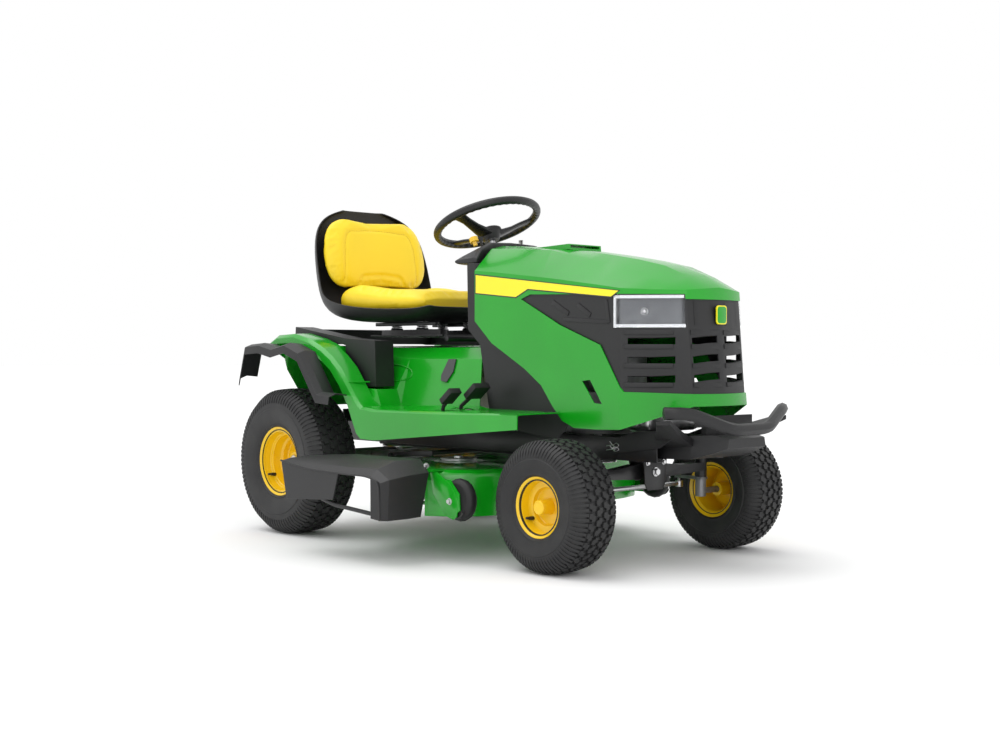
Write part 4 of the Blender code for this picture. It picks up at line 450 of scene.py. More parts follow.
def lathe(bm, profile, centre, axis, steps):
    """A profile of (along, radius) turned about an axis through the centre."""
    axis = Vector(axis).normalized()
    out = axis.orthogonal().normalized()
    centre = Vector(centre)
    verts = [bm.verts.new(centre + axis * along + out * radius) for along, radius in profile]
    edges = [bm.edges.new(pair) for pair in zip(verts, verts[1:] + verts[:1])]
    bmesh.ops.spin(
        bm, geom=verts + edges, cent=centre, axis=axis, angle=math.tau, steps=steps, use_merge=True)
    bmesh.ops.remove_doubles(bm, verts=bm.verts, dist=0.000005)
    bmesh.ops.recalc_face_normals(bm, faces=bm.faces)


def sweep(bm, points, radius, sides=12):
    """A round bar along a path, closed at its ends."""
    rings = []
    for i, point in enumerate(points):
        here = Vector(point)
        before = here - Vector(points[i - 1]) if i else Vector(points[1]) - here
        after = Vector(points[i + 1]) - here if i + 1 < len(points) else before
        way = (before.normalized() + after.normalized()).normalized()
        side = way.cross(Vector((0, 0, 1)))
        side = side.normalized() if side.length > 0.01 else Vector((1, 0, 0))
        up = side.cross(way).normalized()
        ring = [bm.verts.new(here + (side * math.cos(t) + up * math.sin(t)) * radius)
                for t in (math.tau * k / sides for k in range(sides))]
        rings.append([bm.edges.new((ring[k], ring[(k + 1) % sides])) for k in range(sides)])
    for ring, following in zip(rings, rings[1:]):
        bmesh.ops.bridge_loops(bm, edges=ring + following)
    for ring in (rings[0], rings[-1]):
        bmesh.ops.contextual_create(bm, geom=ring)
    bmesh.ops.recalc_face_normals(bm, faces=bm.faces)


def rounded(points, radius, steps=6):
    """A path whose inner corners are arcs."""
    path = [Vector(points[0])]
    for before, here, after in zip(points, points[1:], points[2:]):
        here = Vector(here)
        first, last = Vector(before) - here, Vector(after) - here
        reach = min(radius, first.length * 0.48, last.length * 0.48)
        start, end = here + first.normalized() * reach, here + last.normalized() * reach
        for i in range(steps + 1):
            t = i / steps
            path.append((1 - t) ** 2 * start + 2 * t * (1 - t) * here + t ** 2 * end)
    path.append(Vector(points[-1]))
    return path


def hex_bolt(bm, at, axis, size):
    """A hexagon head on its washer."""
    at, axis = Vector(at), Vector(axis).normalized()
    rod(bm, at, at + axis * size * 0.18, size * 1.05, 20)
    rod(bm, at + axis * size * 0.15, at + axis * size * 0.85, size * 0.80, 6, size * 0.76)


# ---------------------------------------------------------------- wheels

LUG_DROP = 0.0065  # height of the tread's blocks


def carcass_profile(radius, half, tread, flange, bead):
    """Half a tyre's outside from its bead to its crown, as (along, radius)."""
    under = radius - LUG_DROP
    widest = (flange + under) / 2
    return [
        (bead - 0.006, flange - 0.006), (bead + 0.001, flange + 0.0015), (bead + 0.0055, flange + 0.005),
        (bead + 0.004, flange + 0.009), (half - 0.009, flange + 0.016), (half - 0.0035, flange + 0.026),
        (half - 0.0008, widest), (half - 0.0028, widest + 0.0022), (half - 0.0022, widest + 0.010),
        (half - 0.0050, under - 0.030), (half - 0.0105, under - 0.017),
        (tread + 0.010, under - 0.0060), (tread - 0.002, under - 0.0020), (tread * 0.5, under - 0.0003),
        (0.0, under),
    ]


# A block's outline, as shares of the tread's pitch round and across.
Z_LUG = [(-0.42, -0.42), (0.12, -0.42), (0.26, -0.06), (0.47, -0.06),
         (0.42, 0.42), (-0.12, 0.42), (-0.26, 0.06), (-0.47, 0.06)]


def lug_ring(bm, outline, centre_v, pitch_u, pitch_v, surface, lift, phase, scale):
    """A block's outline bent round the tyre at a height over its surface."""
    ring = []
    for u, v in outline:
        across = centre_v + v * pitch_v * scale
        radius = surface(across) + lift
        angle = (u * pitch_u * scale + phase) / surface(0.0)
        ring.append(bm.verts.new((across, radius * math.sin(angle), radius * math.cos(angle))))
    return ring


def tread_sector(bm, radius, half, tread, rows, pitch_angle):
    """One pitch of the tread: a row of Z blocks across and two shoulder bars on each side."""
    pitch_u = pitch_angle * radius
    pitch_v = 2 * (tread + 0.004) / rows

    def crown(across):
        return radius - 0.0032 * (abs(across) / tread) ** 2.4

    for row in range(rows):
        centre_v = -tread - 0.004 + pitch_v * (row + 0.5)
        phase = pitch_u * (0.5 if row % 2 else 0.0)
        outline = Z_LUG if row % 2 else [(-u, v) for u, v in reversed(Z_LUG)]
        foot = lug_ring(bm, outline, centre_v, pitch_u, pitch_v, crown, -LUG_DROP - 0.001, phase, 1.0)
        top = lug_ring(bm, outline, centre_v, pitch_u, pitch_v, crown, 0.0, phase, 0.90)
        skin_between(bm, foot, top)
    under = radius - LUG_DROP
    for side in (-1, 1):
        for bar in (0.0, 0.5):
            middle_angle = (bar + 0.25) * pitch_angle
            stations = [(tread + 0.0035, under + 0.0030, 0.30), (tread + 0.012, under - 0.0050, 0.27),
                        (half - 0.0085, under - 0.0170, 0.24), (half - 0.0030, under - 0.0290, 0.20),
                        (half - 0.0012, under - 0.0400, 0.13)]
            rings = []
            for across, reach, share in stations:
                spread = share * pitch_angle / 2
                inward = Vector((across * 0.965, 0.0, reach - 0.006))
                ring = []
                for depth, turn in ((0, -spread), (0, spread), (1, spread * 1.3), (1, -spread * 1.3)):
                    along, out = (inward.x, inward.z) if depth else (across, reach)
                    angle = middle_angle + turn
                    ring.append(bm.verts.new((side * along, out * math.sin(angle), out * math.cos(angle))))
                rings.append(ring)
            loft(bm, rings)


def skin_between(bm, foot, top):
    """A closed block from a foot outline to a smaller top one."""
    count = len(foot)
    for k in range(count):
        bm.faces.new((foot[k], foot[(k + 1) % count], top[(k + 1) % count], top[k]))
    bm.faces.new(top)
    bm.faces.new(foot)


def lay_tyre(node, flange, bead, tread, rows, pitches):
    """A tyre: one pitch of the tread repeated all round, on a turned carcass."""
    low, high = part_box(node)
    centre = (low + high) / 2 - HOME
    radius, half = (high.z - low.z) / 2, (high.x - low.x) / 2
    bm = bmesh.new()
    pitch_angle = math.tau / pitches
    tread_sector(bm, radius, half, tread, rows, pitch_angle)
    bmesh.ops.recalc_face_normals(bm, faces=bm.faces)
    bmesh.ops.spin(bm, geom=bm.verts[:] + bm.edges[:] + bm.faces[:], cent=(0, 0, 0), axis=(1, 0, 0),
                   angle=pitch_angle * (pitches - 1), steps=pitches - 1, use_duplicate=True)
    ring = carcass_profile(radius, half, tread, flange, bead)
    outside = ring + [(-along, out) for along, out in reversed(ring[:-1])]
    inside = [(-(bead - 0.004), flange - 0.012), (bead - 0.004, flange - 0.012)]
    shell = bmesh.new()
    lathe(shell, outside + inside, (0, 0, 0), (1, 0, 0), 96)
    mesh = bpy.data.meshes.new("carcass")
    shell.to_mesh(mesh)
    shell.free()
    bm.from_mesh(mesh)
    bpy.data.meshes.remove(mesh)
    bmesh.ops.translate(bm, verts=bm.verts, vec=centre)
    return shown(node + "_tread", bm, "tyre", body_of(node), (node,), 40)


# Sections of the pressed wheels, each round from the outer lip by way of the hub, as (along, radius).
FRONT_RIM = [
    (0.0686, 0.0868), (0.0696, 0.0858), (0.0690, 0.0838), (0.0650, 0.0795), (0.0600, 0.0758),
    (0.0545, 0.0738), (0.0365, 0.0724), (0.0345, 0.0712), (0.0338, 0.0690), (0.0338, 0.0575),
    (0.0325, 0.0548), (0.0205, 0.0522), (0.0180, 0.0495), (0.0180, 0.0240), (0.0200, 0.0218),
    (0.0570, 0.0208), (0.0580, 0.0198), (0.0580, 0.0110), (-0.0400, 0.0110), (-0.0400, 0.0210),
    (0.0145, 0.0212), (0.0145, 0.0490), (0.0172, 0.0545), (0.0302, 0.0570), (0.0302, 0.0690),
    (-0.0540, 0.0694), (-0.0620, 0.0750), (-0.0680, 0.0860), (-0.0686, 0.0868), (-0.0625, 0.0868),
    (-0.0625, 0.0764), (0.0625, 0.0764), (0.0625, 0.0868),
]
REAR_RIM = [
    (0.0766, 0.1180), (0.0776, 0.1168), (0.0768, 0.1145), (0.0715, 0.1085), (0.0660, 0.1035),
    (0.0600, 0.1008), (0.0470, 0.0996), (0.0445, 0.0985), (0.0430, 0.0965), (0.0425, 0.0905),
    (0.0405, 0.0885), (0.0150, 0.0868), (0.0125, 0.0850), (0.0115, 0.0820), (0.0070, 0.0775),
    (-0.0095, 0.0745), (-0.0120, 0.0715), (-0.0120, 0.0400), (-0.0095, 0.0345), (0.0090, 0.0305),
    (0.0118, 0.0290), (0.0118, 0.0140), (-0.0450, 0.0140), (-0.0450, 0.0300), (-0.0155, 0.0320),
    (-0.0155, 0.0730), (-0.0120, 0.0775), (0.0040, 0.0810), (0.0075, 0.0870), (0.0085, 0.0980),
    (-0.0640, 0.0985), (-0.0700, 0.1060), (-0.0762, 0.1170), (-0.0766, 0.1180), (-0.0700, 0.1180),
    (-0.0700, 0.1018), (0.0700, 0.1018), (0.0700, 0.1180),
]


def press_rim(node, profile, cap_along, cap_radius, stem_radius, stem_along):
    """A pressed wheel with its hub; the outer side faces away from the machine."""
    side = 1.0 if "left" in node else -1.0
    bm = bmesh.new()
    centre = middle(node) - HOME
    wheel_half = max(along for along, _ in profile)
    low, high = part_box(node)
    outer = high.x - HOME.x if side > 0 else low.x - HOME.x
    origin = Vector((outer - side * wheel_half, centre.y, centre.z))
    lathe(bm, [(along * side, out) for along, out in profile], origin, (1, 0, 0), 72)
    shown(node + "_pressing", bm, "rim", body_of(node), (node,), 32)
    bm = bmesh.new()
    tilt = math.radians(-35)
    radial = Vector((0.0, math.cos(tilt), math.sin(tilt)))
    foot = origin + Vector((side * stem_along, 0, 0)) + radial * stem_radius
    rod(bm, foot, foot + Vector((side * 0.020, 0, 0)) - radial * 0.003, 0.0062, 16, 0.0048, 0.0010)
    neck = foot + Vector((side * 0.018, 0, 0)) - radial * 0.003
    rod(bm, neck, foot + Vector((side * 0.031, 0, 0)) - radial * 0.005, 0.0040, 12, 0.0038, 0.0008)
    shown(node + "_valve", bm, "pad", body_of(node))
    bm = bmesh.new()
    face = origin + Vector((side * cap_along, 0, 0))
    way = Vector((side, 0, 0))
    cap = [(0.0, cap_radius), (0.0055, cap_radius), (0.0075, cap_radius - 0.0015),
           (0.0082, cap_radius * 0.80),
           (0.0070, cap_radius * 0.74), (0.0070, 0.0001), (0.0, 0.0001)]
    lathe(bm, cap, face, way, 40)
    shown(node + "_cap", bm, "rim" if "front" in node else "zinc", body_of(node), sharp=30)


# ---------------------------------------------------------------- hood

# The stripe's outline on the hood's side, as (y, z).
STRIPE = [(-0.1290, 0.8640), (-0.7350, 0.7955), (-0.7060, 0.7800), (-0.3650, 0.8130), (-0.3120, 0.7900),
          (-0.1290, 0.8080)]


BEZEL_WIDTH, LENS_ROOM, BOWL_DEPTH = 0.009, 0.0032, 0.015


def grown(outline, distance):
    """An outline with its sides moved outwards."""
    area = sum(a[0] * b[1] - b[0] * a[1] for a, b in zip(outline, outline[1:] + outline[:1]))
    turn = -1.0 if area > 0 else 1.0
    made = []
    for i, point in enumerate(outline):
        here = Vector(point)
        before = (here - Vector(outline[i - 1])).normalized()
        after = (Vector(outline[(i + 1) % len(outline)]) - here).normalized()
        n1, n2 = Vector((-before.y, before.x)) * turn, Vector((-after.y, after.x)) * turn
        mitre = (n1 + n2).normalized()
        made.append(tuple(here + mitre * (distance / max(mitre.dot(n1), 0.5))))
    return made


def lay_stripe():
    """A raised yellow stripe on each side, with a thin black border."""
    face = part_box("hood_shell")[1].x - HOME.x
    for side, sign in (("right", -1), ("left", 1)):
        for name, outline, finish, reach in (
                ("border", grown(STRIPE, 0.0034), "stripe_edge", 0.0005),
                ("band", STRIPE, "stripe", 0.0009)):
            bm = bmesh.new()
            near, far = sorted((sign * (face - 0.0004), sign * (face + reach)))
            plate(bm, outline, "x", near, far)
            shown(f"stripe_{name}_{side}", bm, finish, "hood")


def lamp_front(node, sign):
    """The faces of a lamp block that look outwards, where the block stands."""
    bm = plain_form(node)
    hind = []
    for face in bm.faces:
        facing = face.normal.x * sign > 0.25 or face.normal.y < -0.5
        if abs(face.normal.z) > 0.5 or not facing:
            hind.append(face)
    bmesh.ops.delete(bm, geom=hind, context="FACES")
    return bm


def fit_lens(node, sign):
    """The clear cover over the lamp."""
    bm = lamp_front(node, sign)
    bmesh.ops.solidify(bm, geom=bm.faces[:], thickness=0.0025)
    bmesh.ops.recalc_face_normals(bm, faces=bm.faces)
    lens = shown(node + "_lens", bm, "lens", "hood", (node,), 25, at_home=False)
    soften_edges(lens, 0.0010)


def fit_reflector(node, sign):
    """A bright frame behind the lens, and the bowl sunk inside it in a darker copy of the reflector finish,
    painted shade for its recess.
    """
    inwards = Vector((-sign, 1.0, 0.0))
    bm = lamp_front(node, sign)
    inset = bmesh.ops.inset_region(
        bm, faces=bm.faces[:], thickness=BEZEL_WIDTH, use_boundary=True, use_even_offset=True)
    bmesh.ops.translate(bm, verts=bm.verts, vec=inwards * LENS_ROOM)
    bm.faces.index_update()
    border = {f.index for f in inset["faces"]}
    bezel = bm.copy()
    bmesh.ops.delete(bezel, geom=[f for f in bezel.faces if f.index not in border], context="FACES")
    bmesh.ops.solidify(bezel, geom=bezel.faces[:], thickness=0.0018)
    bmesh.ops.recalc_face_normals(bezel, faces=bezel.faces)
    shown(node + "_bezel", bezel, "reflector", "hood", (), 25, at_home=False)
    bmesh.ops.delete(bm, geom=[f for f in bm.faces if f.index in border], context="FACES")
    core = bm.faces[:]
    pushed = bmesh.ops.extrude_face_region(bm, geom=core)
    verts = [v for v in pushed["geom"] if isinstance(v, bmesh.types.BMVert)]
    bmesh.ops.translate(bm, verts=verts, vec=inwards * BOWL_DEPTH)
    bmesh.ops.delete(bm, geom=core, context="FACES")
    # The sunk bowl takes the darker reflector that paints its shade.
    shown(node + "_reflector", bm, "shaded_lamp_bowl", "hood", (), 20, at_home=False)


def fit_bulb(node, sign):
    """The bulb and its socket."""
    bm = bmesh.new()
    at = middle(node) + Vector((sign * 0.016, 0.014, 0.0))
    way = Vector((sign * 0.75, -0.66, 0.0))
    rod(bm, at - way * 0.030, at - way * 0.010, 0.012, 24, 0.010)
    bulb = bmesh.ops.create_uvsphere(bm, u_segments=20, v_segments=12, radius=0.0085)
    bmesh.ops.translate(bm, verts=bulb["verts"], vec=at - way * 0.006)
    shown(node + "_bulb", bm, "zinc", "hood", (), 40, at_home=False)


def fit_lamps():
    """Both lamps."""
    for side, sign in (("right", -1), ("left", 1)):
        node = "headlight_" + side
        fit_lens(node, sign)
        fit_reflector(node, sign)
        fit_bulb(node, sign)


def soften_edges(obj, width):
    """Rounds a finished piece's edges off."""
    modifier = obj.modifiers.new("broken_edges", "BEVEL")
    modifier.width, modifier.segments = width, 2
    modifier.limit_method, modifier.angle_limit = "ANGLE", math.radians(30.0)


BADGE_BORDER, BADGE_FIELD, BADGE_CORNER = (0.0225, 0.0268), (0.0195, 0.0238), 0.009


def fit_badge():
    """A rounded plate: a yellow border round a plain green field."""
    at, face = middle("grille_badge") - HOME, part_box("grille_badge")[0].y - HOME.y
    for name, (half_x, half_z), finish, near in (
            ("border", BADGE_BORDER, "stripe", 0.0), ("field", BADGE_FIELD, "green", -0.0008)):
        outline = []
        for corner, (sx, sz) in enumerate(((1, 1), (-1, 1), (-1, -1), (1, -1))):
            for i in range(7):
                turn = math.radians(corner * 90 + i * 15)
                outline.append((
                    at.x + sx * (half_x - BADGE_CORNER) + BADGE_CORNER * math.cos(turn),
                    at.z + sz * (half_z - BADGE_CORNER) + BADGE_CORNER * math.sin(turn)))
        bm = bmesh.new()
        plate(bm, outline, "y", face + near, face + 0.004, 0.0005)
        shown("badge_" + name, bm, finish, "hood", ("grille_badge",) if name == "border" else ())


# ---------------------------------------------------------------- seat


CUSHION_WELT = 0.016  # height of the cushion's straight lower edge


def loft(bm, rings):
    """A closed skin over rings of points, which its first and last ring cap."""
    count = len(rings[0])
    for ring, following in zip(rings, rings[1:]):
        for k in range(count):
            j = (k + 1) % count
            bm.faces.new((ring[k], ring[j], following[j], following[k]))
    bm.faces.new(rings[0])
    bm.faces.new(rings[-1])


def cushion_cage(stations):
    """A closed cage lofted along y from rows of (y, [(x, top), ...], underside)."""
    bm = bmesh.new()
    rings = []
    for y, crest, floor in stations:
        left = crest[0][0]
        points = crest + [(-x, z) for x, z in reversed(crest[:-1])]
        points += [(-left * 0.97, floor + CUSHION_WELT), (-left * 0.80, floor), (0.0, floor),
                   (left * 0.80, floor), (left * 0.97, floor + CUSHION_WELT)]
        rings.append([bm.verts.new((x, y, z)) for x, z in points])
    loft(bm, rings)
    bmesh.ops.recalc_face_normals(bm, faces=bm.faces)
    return bm


COVER_MESH, COVER_PRESSURE, COVER_FRAMES = 0.0055, 4.0, 20


def inflate(obj, cap):
    """Blows the cover up round its filling with a short cloth run, and holds each point within the cap."""
    remesh = obj.modifiers.new("remesh", "REMESH")
    remesh.mode, remesh.voxel_size = "VOXEL", COVER_MESH
    bake_modifiers(obj)
    before = [v.co.copy() for v in obj.data.vertices]
    cloth = obj.modifiers.new("cover", "CLOTH")
    cloth.settings.use_pressure = True
    cloth.settings.uniform_pressure_force = COVER_PRESSURE
    cloth.settings.quality = 5
    cloth.settings.effector_weights.gravity = 0.0
    scene = bpy.context.scene
    for number in range(1, COVER_FRAMES + 1):
        scene.frame_set(number)
    bake_modifiers(obj)
    scene.frame_set(1)
    for vert, start in zip(obj.data.vertices, before):
        moved = vert.co - start
        if moved.length > cap:
            vert.co = start + moved.normalized() * cap
    obj.data.shade_smooth()


def bake_modifiers(obj):
    """The evaluated mesh takes the place of the modifiers."""
    bpy.context.view_layer.update()
    mesh = bpy.data.meshes.new_from_object(obj.evaluated_get(bpy.context.evaluated_depsgraph_get()))
    obj.modifiers.clear()
    old = obj.data
    obj.data = mesh
    bpy.data.meshes.remove(old)


def smoothed(bm, rounds):
    """Evens the cage out."""
    for _ in range(rounds):
        bmesh.ops.smooth_vert(
            bm, verts=bm.verts, factor=0.5, use_axis_x=True, use_axis_y=True, use_axis_z=True)


def pad_piece(name, bm, node, cap):
    """A cage made into an inflated cover, in a plain node's place."""
    mesh = bpy.data.meshes.new(name)
    bm.to_mesh(mesh)
    bm.free()
    mesh.transform(Matrix.Translation(HOME))
    obj = bpy.data.objects.new(name, mesh)
    bpy.context.scene.collection.objects.link(obj)
    inflate(obj, cap)
    obj.data.materials.clear()
    obj.data.materials.append(FINISHES["vinyl"])
    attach(obj, "seat")
    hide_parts(node)
    return obj


def press_seam(obj, line, depth, width):
    """Sinks the cover along a line on it, as a sewn seam does."""
    for vert in obj.data.vertices:
        nearest = min(segment_distance(vert.co, a, b) for a, b in zip(line, line[1:]))
        if nearest < width * 3:
            vert.co -= vert.normal * depth * math.exp(-(nearest / width) ** 2)


def segment_distance(point, a, b):
    """How far a point lies from the stretch between two others."""
    run = b - a
    share = max(0.0, min(1.0, (point - a).dot(run) / run.length_squared))
    return (point - a - run * share).length


def mould_seat_shell():
    """The pan and back in one moulding, its facets turned into curves and its rim kept crisp."""
    bm = bmesh.new()
    bm.from_mesh(NODES["seat_shell"].data)
    bmesh.ops.remove_doubles(bm, verts=bm.verts, dist=WELD)
    bmesh.ops.join_triangles(
        bm, faces=bm.faces, angle_face_threshold=math.radians(35), angle_shape_threshold=math.radians(70))
    crease = bm.edges.layers.float.new("crease_edge")
    for edge in bm.edges:
        if edge.calc_face_angle(0.0) > math.radians(60):
            edge[crease] = 0.9
    shell = shown("seat_shell_moulding", bm, "plastic", "seat", ("seat_shell",), 50, at_home=False)
    curve = shell.modifiers.new("moulded_curves", "SUBSURF")
    curve.levels = curve.render_levels = 2


def sew_cushion():
    """The seat's cushion: low in front, dished in the middle and raised beside the hips."""
    low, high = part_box("seat_cushion")
    low, high = low - HOME, high - HOME
    floor, half = low.z + 0.002, high.x - 0.002
    front, rear = low.y + 0.012, high.y - 0.014
    top = high.z - 0.012
    run = rear - front
    stations = [
        (front, [(half * 0.80, top - 0.040), (half * 0.5, top - 0.036), (0, top - 0.034)], floor + 0.010),
        (front + run * 0.05, [(half * 0.93, top - 0.026), (half * 0.6, top - 0.017), (0, top - 0.016)],
         floor + 0.002),
        (front + run * 0.20, [(half, top - 0.024), (half * 0.70, top - 0.008), (0, top - 0.012)], floor),
        (front + run * 0.45, [(half, top - 0.020), (half * 0.76, top - 0.004), (0, top - 0.022)], floor),
        (front + run * 0.66, [(half, top - 0.002), (half * 0.80, top + 0.014), (0, top - 0.024)], floor),
        (front + run * 0.84, [(half, top + 0.006), (half * 0.82, top + 0.021), (0, top - 0.016)], floor),
        (front + run * 0.95, [(half * 0.94, top - 0.004), (half * 0.75, top + 0.008), (0, top - 0.014)],
         floor + 0.002),
        (rear, [(half * 0.84, top - 0.034), (half * 0.6, top - 0.026), (0, top - 0.028)], floor + 0.010),
    ]
    bm = cushion_cage(stations)
    bmesh.ops.subdivide_edges(bm, edges=bm.edges, cuts=2, use_grid_fill=True)
    smoothed(bm, 4)
    pad = pad_piece("seat_cushion_cover", bm, "seat_cushion", 0.010)
    inner = half * 0.62
    line = [
        (-inner, rear - 0.030, top), (-inner * 1.04, front + run * 0.45, top),
        (-inner * 0.92, front + run * 0.14, top), (0.0, front + run * 0.11, top),
        (inner * 0.92, front + run * 0.14, top), (inner * 1.04, front + run * 0.45, top),
        (inner, rear - 0.030, top)]
    line = drape_line(pad, rounded([Vector(p) + HOME for p in line], 0.05, 8), Vector((0, 0, -1)))
    press_seam(pad, line, 0.0045, 0.0055)
    stitch(pad, line, "seat_cushion_seam")
    add_level(pad)


def drape_line(obj, line, way):
    """The line laid on the cover along a direction."""
    made = []
    for point in dense(line, 0.010):
        hit, place, _, _ = obj.ray_cast(point - way * 0.12, way)
        if hit:
            made.append(place.copy())
    return made


def dense(line, step):
    """The line with points no further apart than a step."""
    made = [line[0]]
    for a, b in zip(line, line[1:]):
        count = max(1, int((b - a).length / step))
        made += [a.lerp(b, i / count) for i in range(1, count + 1)]
    return made


def stitch(obj, line, name):
    """Short stitches that lie in the seam's hollow."""
    bm = bmesh.new()
    path = dense(line, 0.0045)
    sunk = [obj.closest_point_on_mesh(point) for point in path]
    for (_, a, na, _), (_, b, nb, _) in list(zip(sunk, sunk[1:]))[::2]:
        if (b - a).length > 0.001:
            rod(bm, a + na * 0.0004, b + nb * 0.0004, 0.0007, 6)
    shown(name, bm, "stitch", "seat", (), 60, at_home=False)


def add_level(obj):
    """One level of subdivision on a finished cover."""
    modifier = obj.modifiers.new("finer", "SUBSURF")
    modifier.levels = modifier.render_levels = 1


# The backrest's half width at each share of its height, and its section, in half widths across and half
# thicknesses back.
BACKREST_OUTLINE = [(0.00, 0.66), (0.05, 0.84), (0.14, 0.94), (0.30, 1.0), (0.50, 1.0), (0.68, 0.97),
                    (0.82, 0.91),
                    (0.92, 0.81), (0.985, 0.63)]
BACKREST_SECTION = [(1, 0.1), (0.97, -0.5), (0.86, -0.92), (0.6, -0.96), (0.3, -0.84), (0, -0.78),
                    (-0.3, -0.84),
                    (-0.6, -0.96), (-0.86, -0.92), (-0.97, -0.5), (-1, 0.1), (-0.9, 0.7), (-0.5, 0.9),
                    (0, 0.95),
                    (0.5, 0.9), (0.9, 0.7)]


def sew_backrest():
    """The leaning backrest, its seam and the crease over the small of the back."""
    low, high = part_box("seat_backrest")
    low, high = low - HOME, high - HOME
    height, half = high.z - low.z, high.x + 0.004
    lean = math.radians(9)
    foot = Vector((0.0, low.y + 0.034, low.z))
    up = Vector((0.0, math.sin(lean), math.cos(lean)))
    back = Vector((0.0, math.cos(lean), -math.sin(lean)))
    bm = bmesh.new()
    rings = []
    for share, wide in BACKREST_OUTLINE:
        reach = share * (height + 0.006) + 0.002
        thick = 0.020 + 0.012 * math.sin(math.pi * min(max(share, 0.06), 0.94))
        ring = []
        for x, depth in BACKREST_SECTION:
            dip = 0.010 * (1 - abs(x)) if share > 0.9 else 0.0
            place = foot + up * (reach - dip) + Vector((x * wide * half, 0, 0)) + back * (depth * thick)
            ring.append(bm.verts.new(place))
        rings.append(ring)
    loft(bm, rings)
    bmesh.ops.recalc_face_normals(bm, faces=bm.faces)
    bmesh.ops.subdivide_edges(bm, edges=bm.edges, cuts=1, use_grid_fill=True)
    smoothed(bm, 2)
    pad = pad_piece("seat_backrest_cover", bm, "seat_backrest", 0.009)
    front = -0.05
    shape = [(-0.70, 0.10), (-0.66, 0.62), (-0.58, 0.80), (0.0, 0.84), (0.58, 0.80), (0.66, 0.62),
             (0.70, 0.10)]
    line = [foot + up * (share * height) + Vector((x * half, 0, 0)) + back * front + HOME for x,
            share in shape]
    line = drape_line(pad, rounded(line, 0.05, 8), back)
    press_seam(pad, line, 0.0050, 0.0055)
    stitch(pad, line, "seat_backrest_seam")
    crease = [foot + up * (share * height) + Vector((x * half, 0, 0)) + back * front + HOME
              for x, share in ((-0.42, 0.075), (-0.36, 0.17), (0.0, 0.20), (0.36, 0.17), (0.42, 0.075))]
    press_seam(pad, drape_line(pad, rounded(crease, 0.03, 6), back), 0.006, 0.007)
    add_level(pad)


# ---------------------------------------------------------------- steering wheel


STEERING_CENTRE = Vector((0.0, 0.084, 1.057))
STEERING_TILT = math.radians(21.4)
GRIP_RADIUS, GRIP_WAVES, GRIP_DEPTH = 0.0132, 45, 0.0013
SPOKE_TURNS = (-12, 192, 90)  # degrees about the wheel's axis, the last towards the seat


def wheel_rim(bm, ring_radius):
    """The padded rim, waved on its underside for the fingers."""
    steps, sides = 180, 16
    rings = []
    for i in range(steps):
        angle = math.tau * i / steps
        wave = GRIP_DEPTH * (0.5 + 0.5 * math.cos(angle * GRIP_WAVES))
        ring = []
        for k in range(sides):
            around = math.tau * k / sides
            inner_low = max(0.0, math.cos(around - math.radians(215))) ** 2
            r = GRIP_RADIUS - wave * inner_low * 1.6
            out = ring_radius + r * math.cos(around)
            ring.append(bm.verts.new((out * math.cos(angle), out * math.sin(angle),
                                      r * 1.06 * math.sin(around))))
        rings.append(ring)
    for i in range(steps):
        following = rings[(i + 1) % steps]
        for k in range(sides):
            j = (k + 1) % sides
            bm.faces.new((rings[i][k], rings[i][j], following[j], following[k]))


def wheel_spoke(bm, degrees, ring_radius):
    """A spoke rising from hub to rim, by stations of (out, height, half width, half thickness)."""
    turn = Matrix.Rotation(math.radians(degrees), 4, "Z")
    stations = ((0.010, -0.044, 0.030, 0.016), (0.040, -0.040, 0.026, 0.013), (0.080, -0.028, 0.020, 0.010),
                (0.120, -0.012, 0.017, 0.009), (0.150, -0.003, 0.021, 0.009),
                (ring_radius, 0.0, 0.030, 0.009))
    rings = []
    for out, height, half, thick in stations:
        ring = []
        for k in range(12):
            around = math.tau * (k + 0.5) / 12
            side = math.copysign(abs(math.cos(around)) ** 0.55, math.cos(around))
            up = math.copysign(abs(math.sin(around)) ** 0.8, math.sin(around))
            ring.append(bm.verts.new(turn @ Vector((out, half * side, height + thick * up * 0.8))))
        rings.append(ring)
    loft(bm, rings)


def turn_steering_wheel():
    """A padded rim with finger grips below, three dished spokes and a hub cap."""
    low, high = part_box("steering_wheel")
    ring_radius = (high.x - low.x) / 2 - GRIP_RADIUS
    bm = bmesh.new()
    wheel_rim(bm, ring_radius)
    for degrees in SPOKE_TURNS:
        wheel_spoke(bm, degrees, ring_radius)
    hub = [(-0.066, 0.0005), (-0.066, 0.026), (-0.050, 0.034), (-0.034, 0.041), (-0.028, 0.040),
           (-0.024, 0.034),
           (-0.022, 0.020), (-0.0215, 0.0005)]
    lathe(bm, hub, (0, 0, 0), (0, 0, 1), 40)
    lean = Matrix.Translation(STEERING_CENTRE) @ Matrix.Rotation(-STEERING_TILT, 4, "X")
    bmesh.ops.transform(bm, matrix=lean, verts=bm.verts)
    shown("steering_wheel_moulding", bm, "wheel_grip", "steering", ("steering_wheel",), 42)


# ---------------------------------------------------------------- trim laid on the plain forms


def laid_on(node, points, way, lift=0.0):
    """Points moved along a direction until they meet a plain node, then lifted off it a little."""
    mesh = NODES[node].data
    tree = BVHTree.FromPolygons([v.co for v in mesh.vertices], [f.vertices for f in mesh.polygons])
    way = Vector(way).normalized()
    made = []
    for point in points:
        place, _, _, _ = tree.ray_cast(Vector(point) + HOME - way * 0.15, way)
        if place is not None:
            made.append(place - HOME - way * lift)
    return made


def bar_between(bm, start, end, depth, height, bevel=0.0):
    """A level bar of a rectangular section from one point to another."""
    start, run = Vector(start), Vector(end) - Vector(start)
    turn = Matrix.Rotation(math.atan2(run.y, run.x), 4, "Z")
    rise = Matrix.Rotation(-math.asin(run.z / run.length), 4, "Y")
    block(bm, (0.0, -depth / 2, -height / 2), (run.length, depth / 2, height / 2), bevel,
          Matrix.Translation(start) @ turn @ rise)


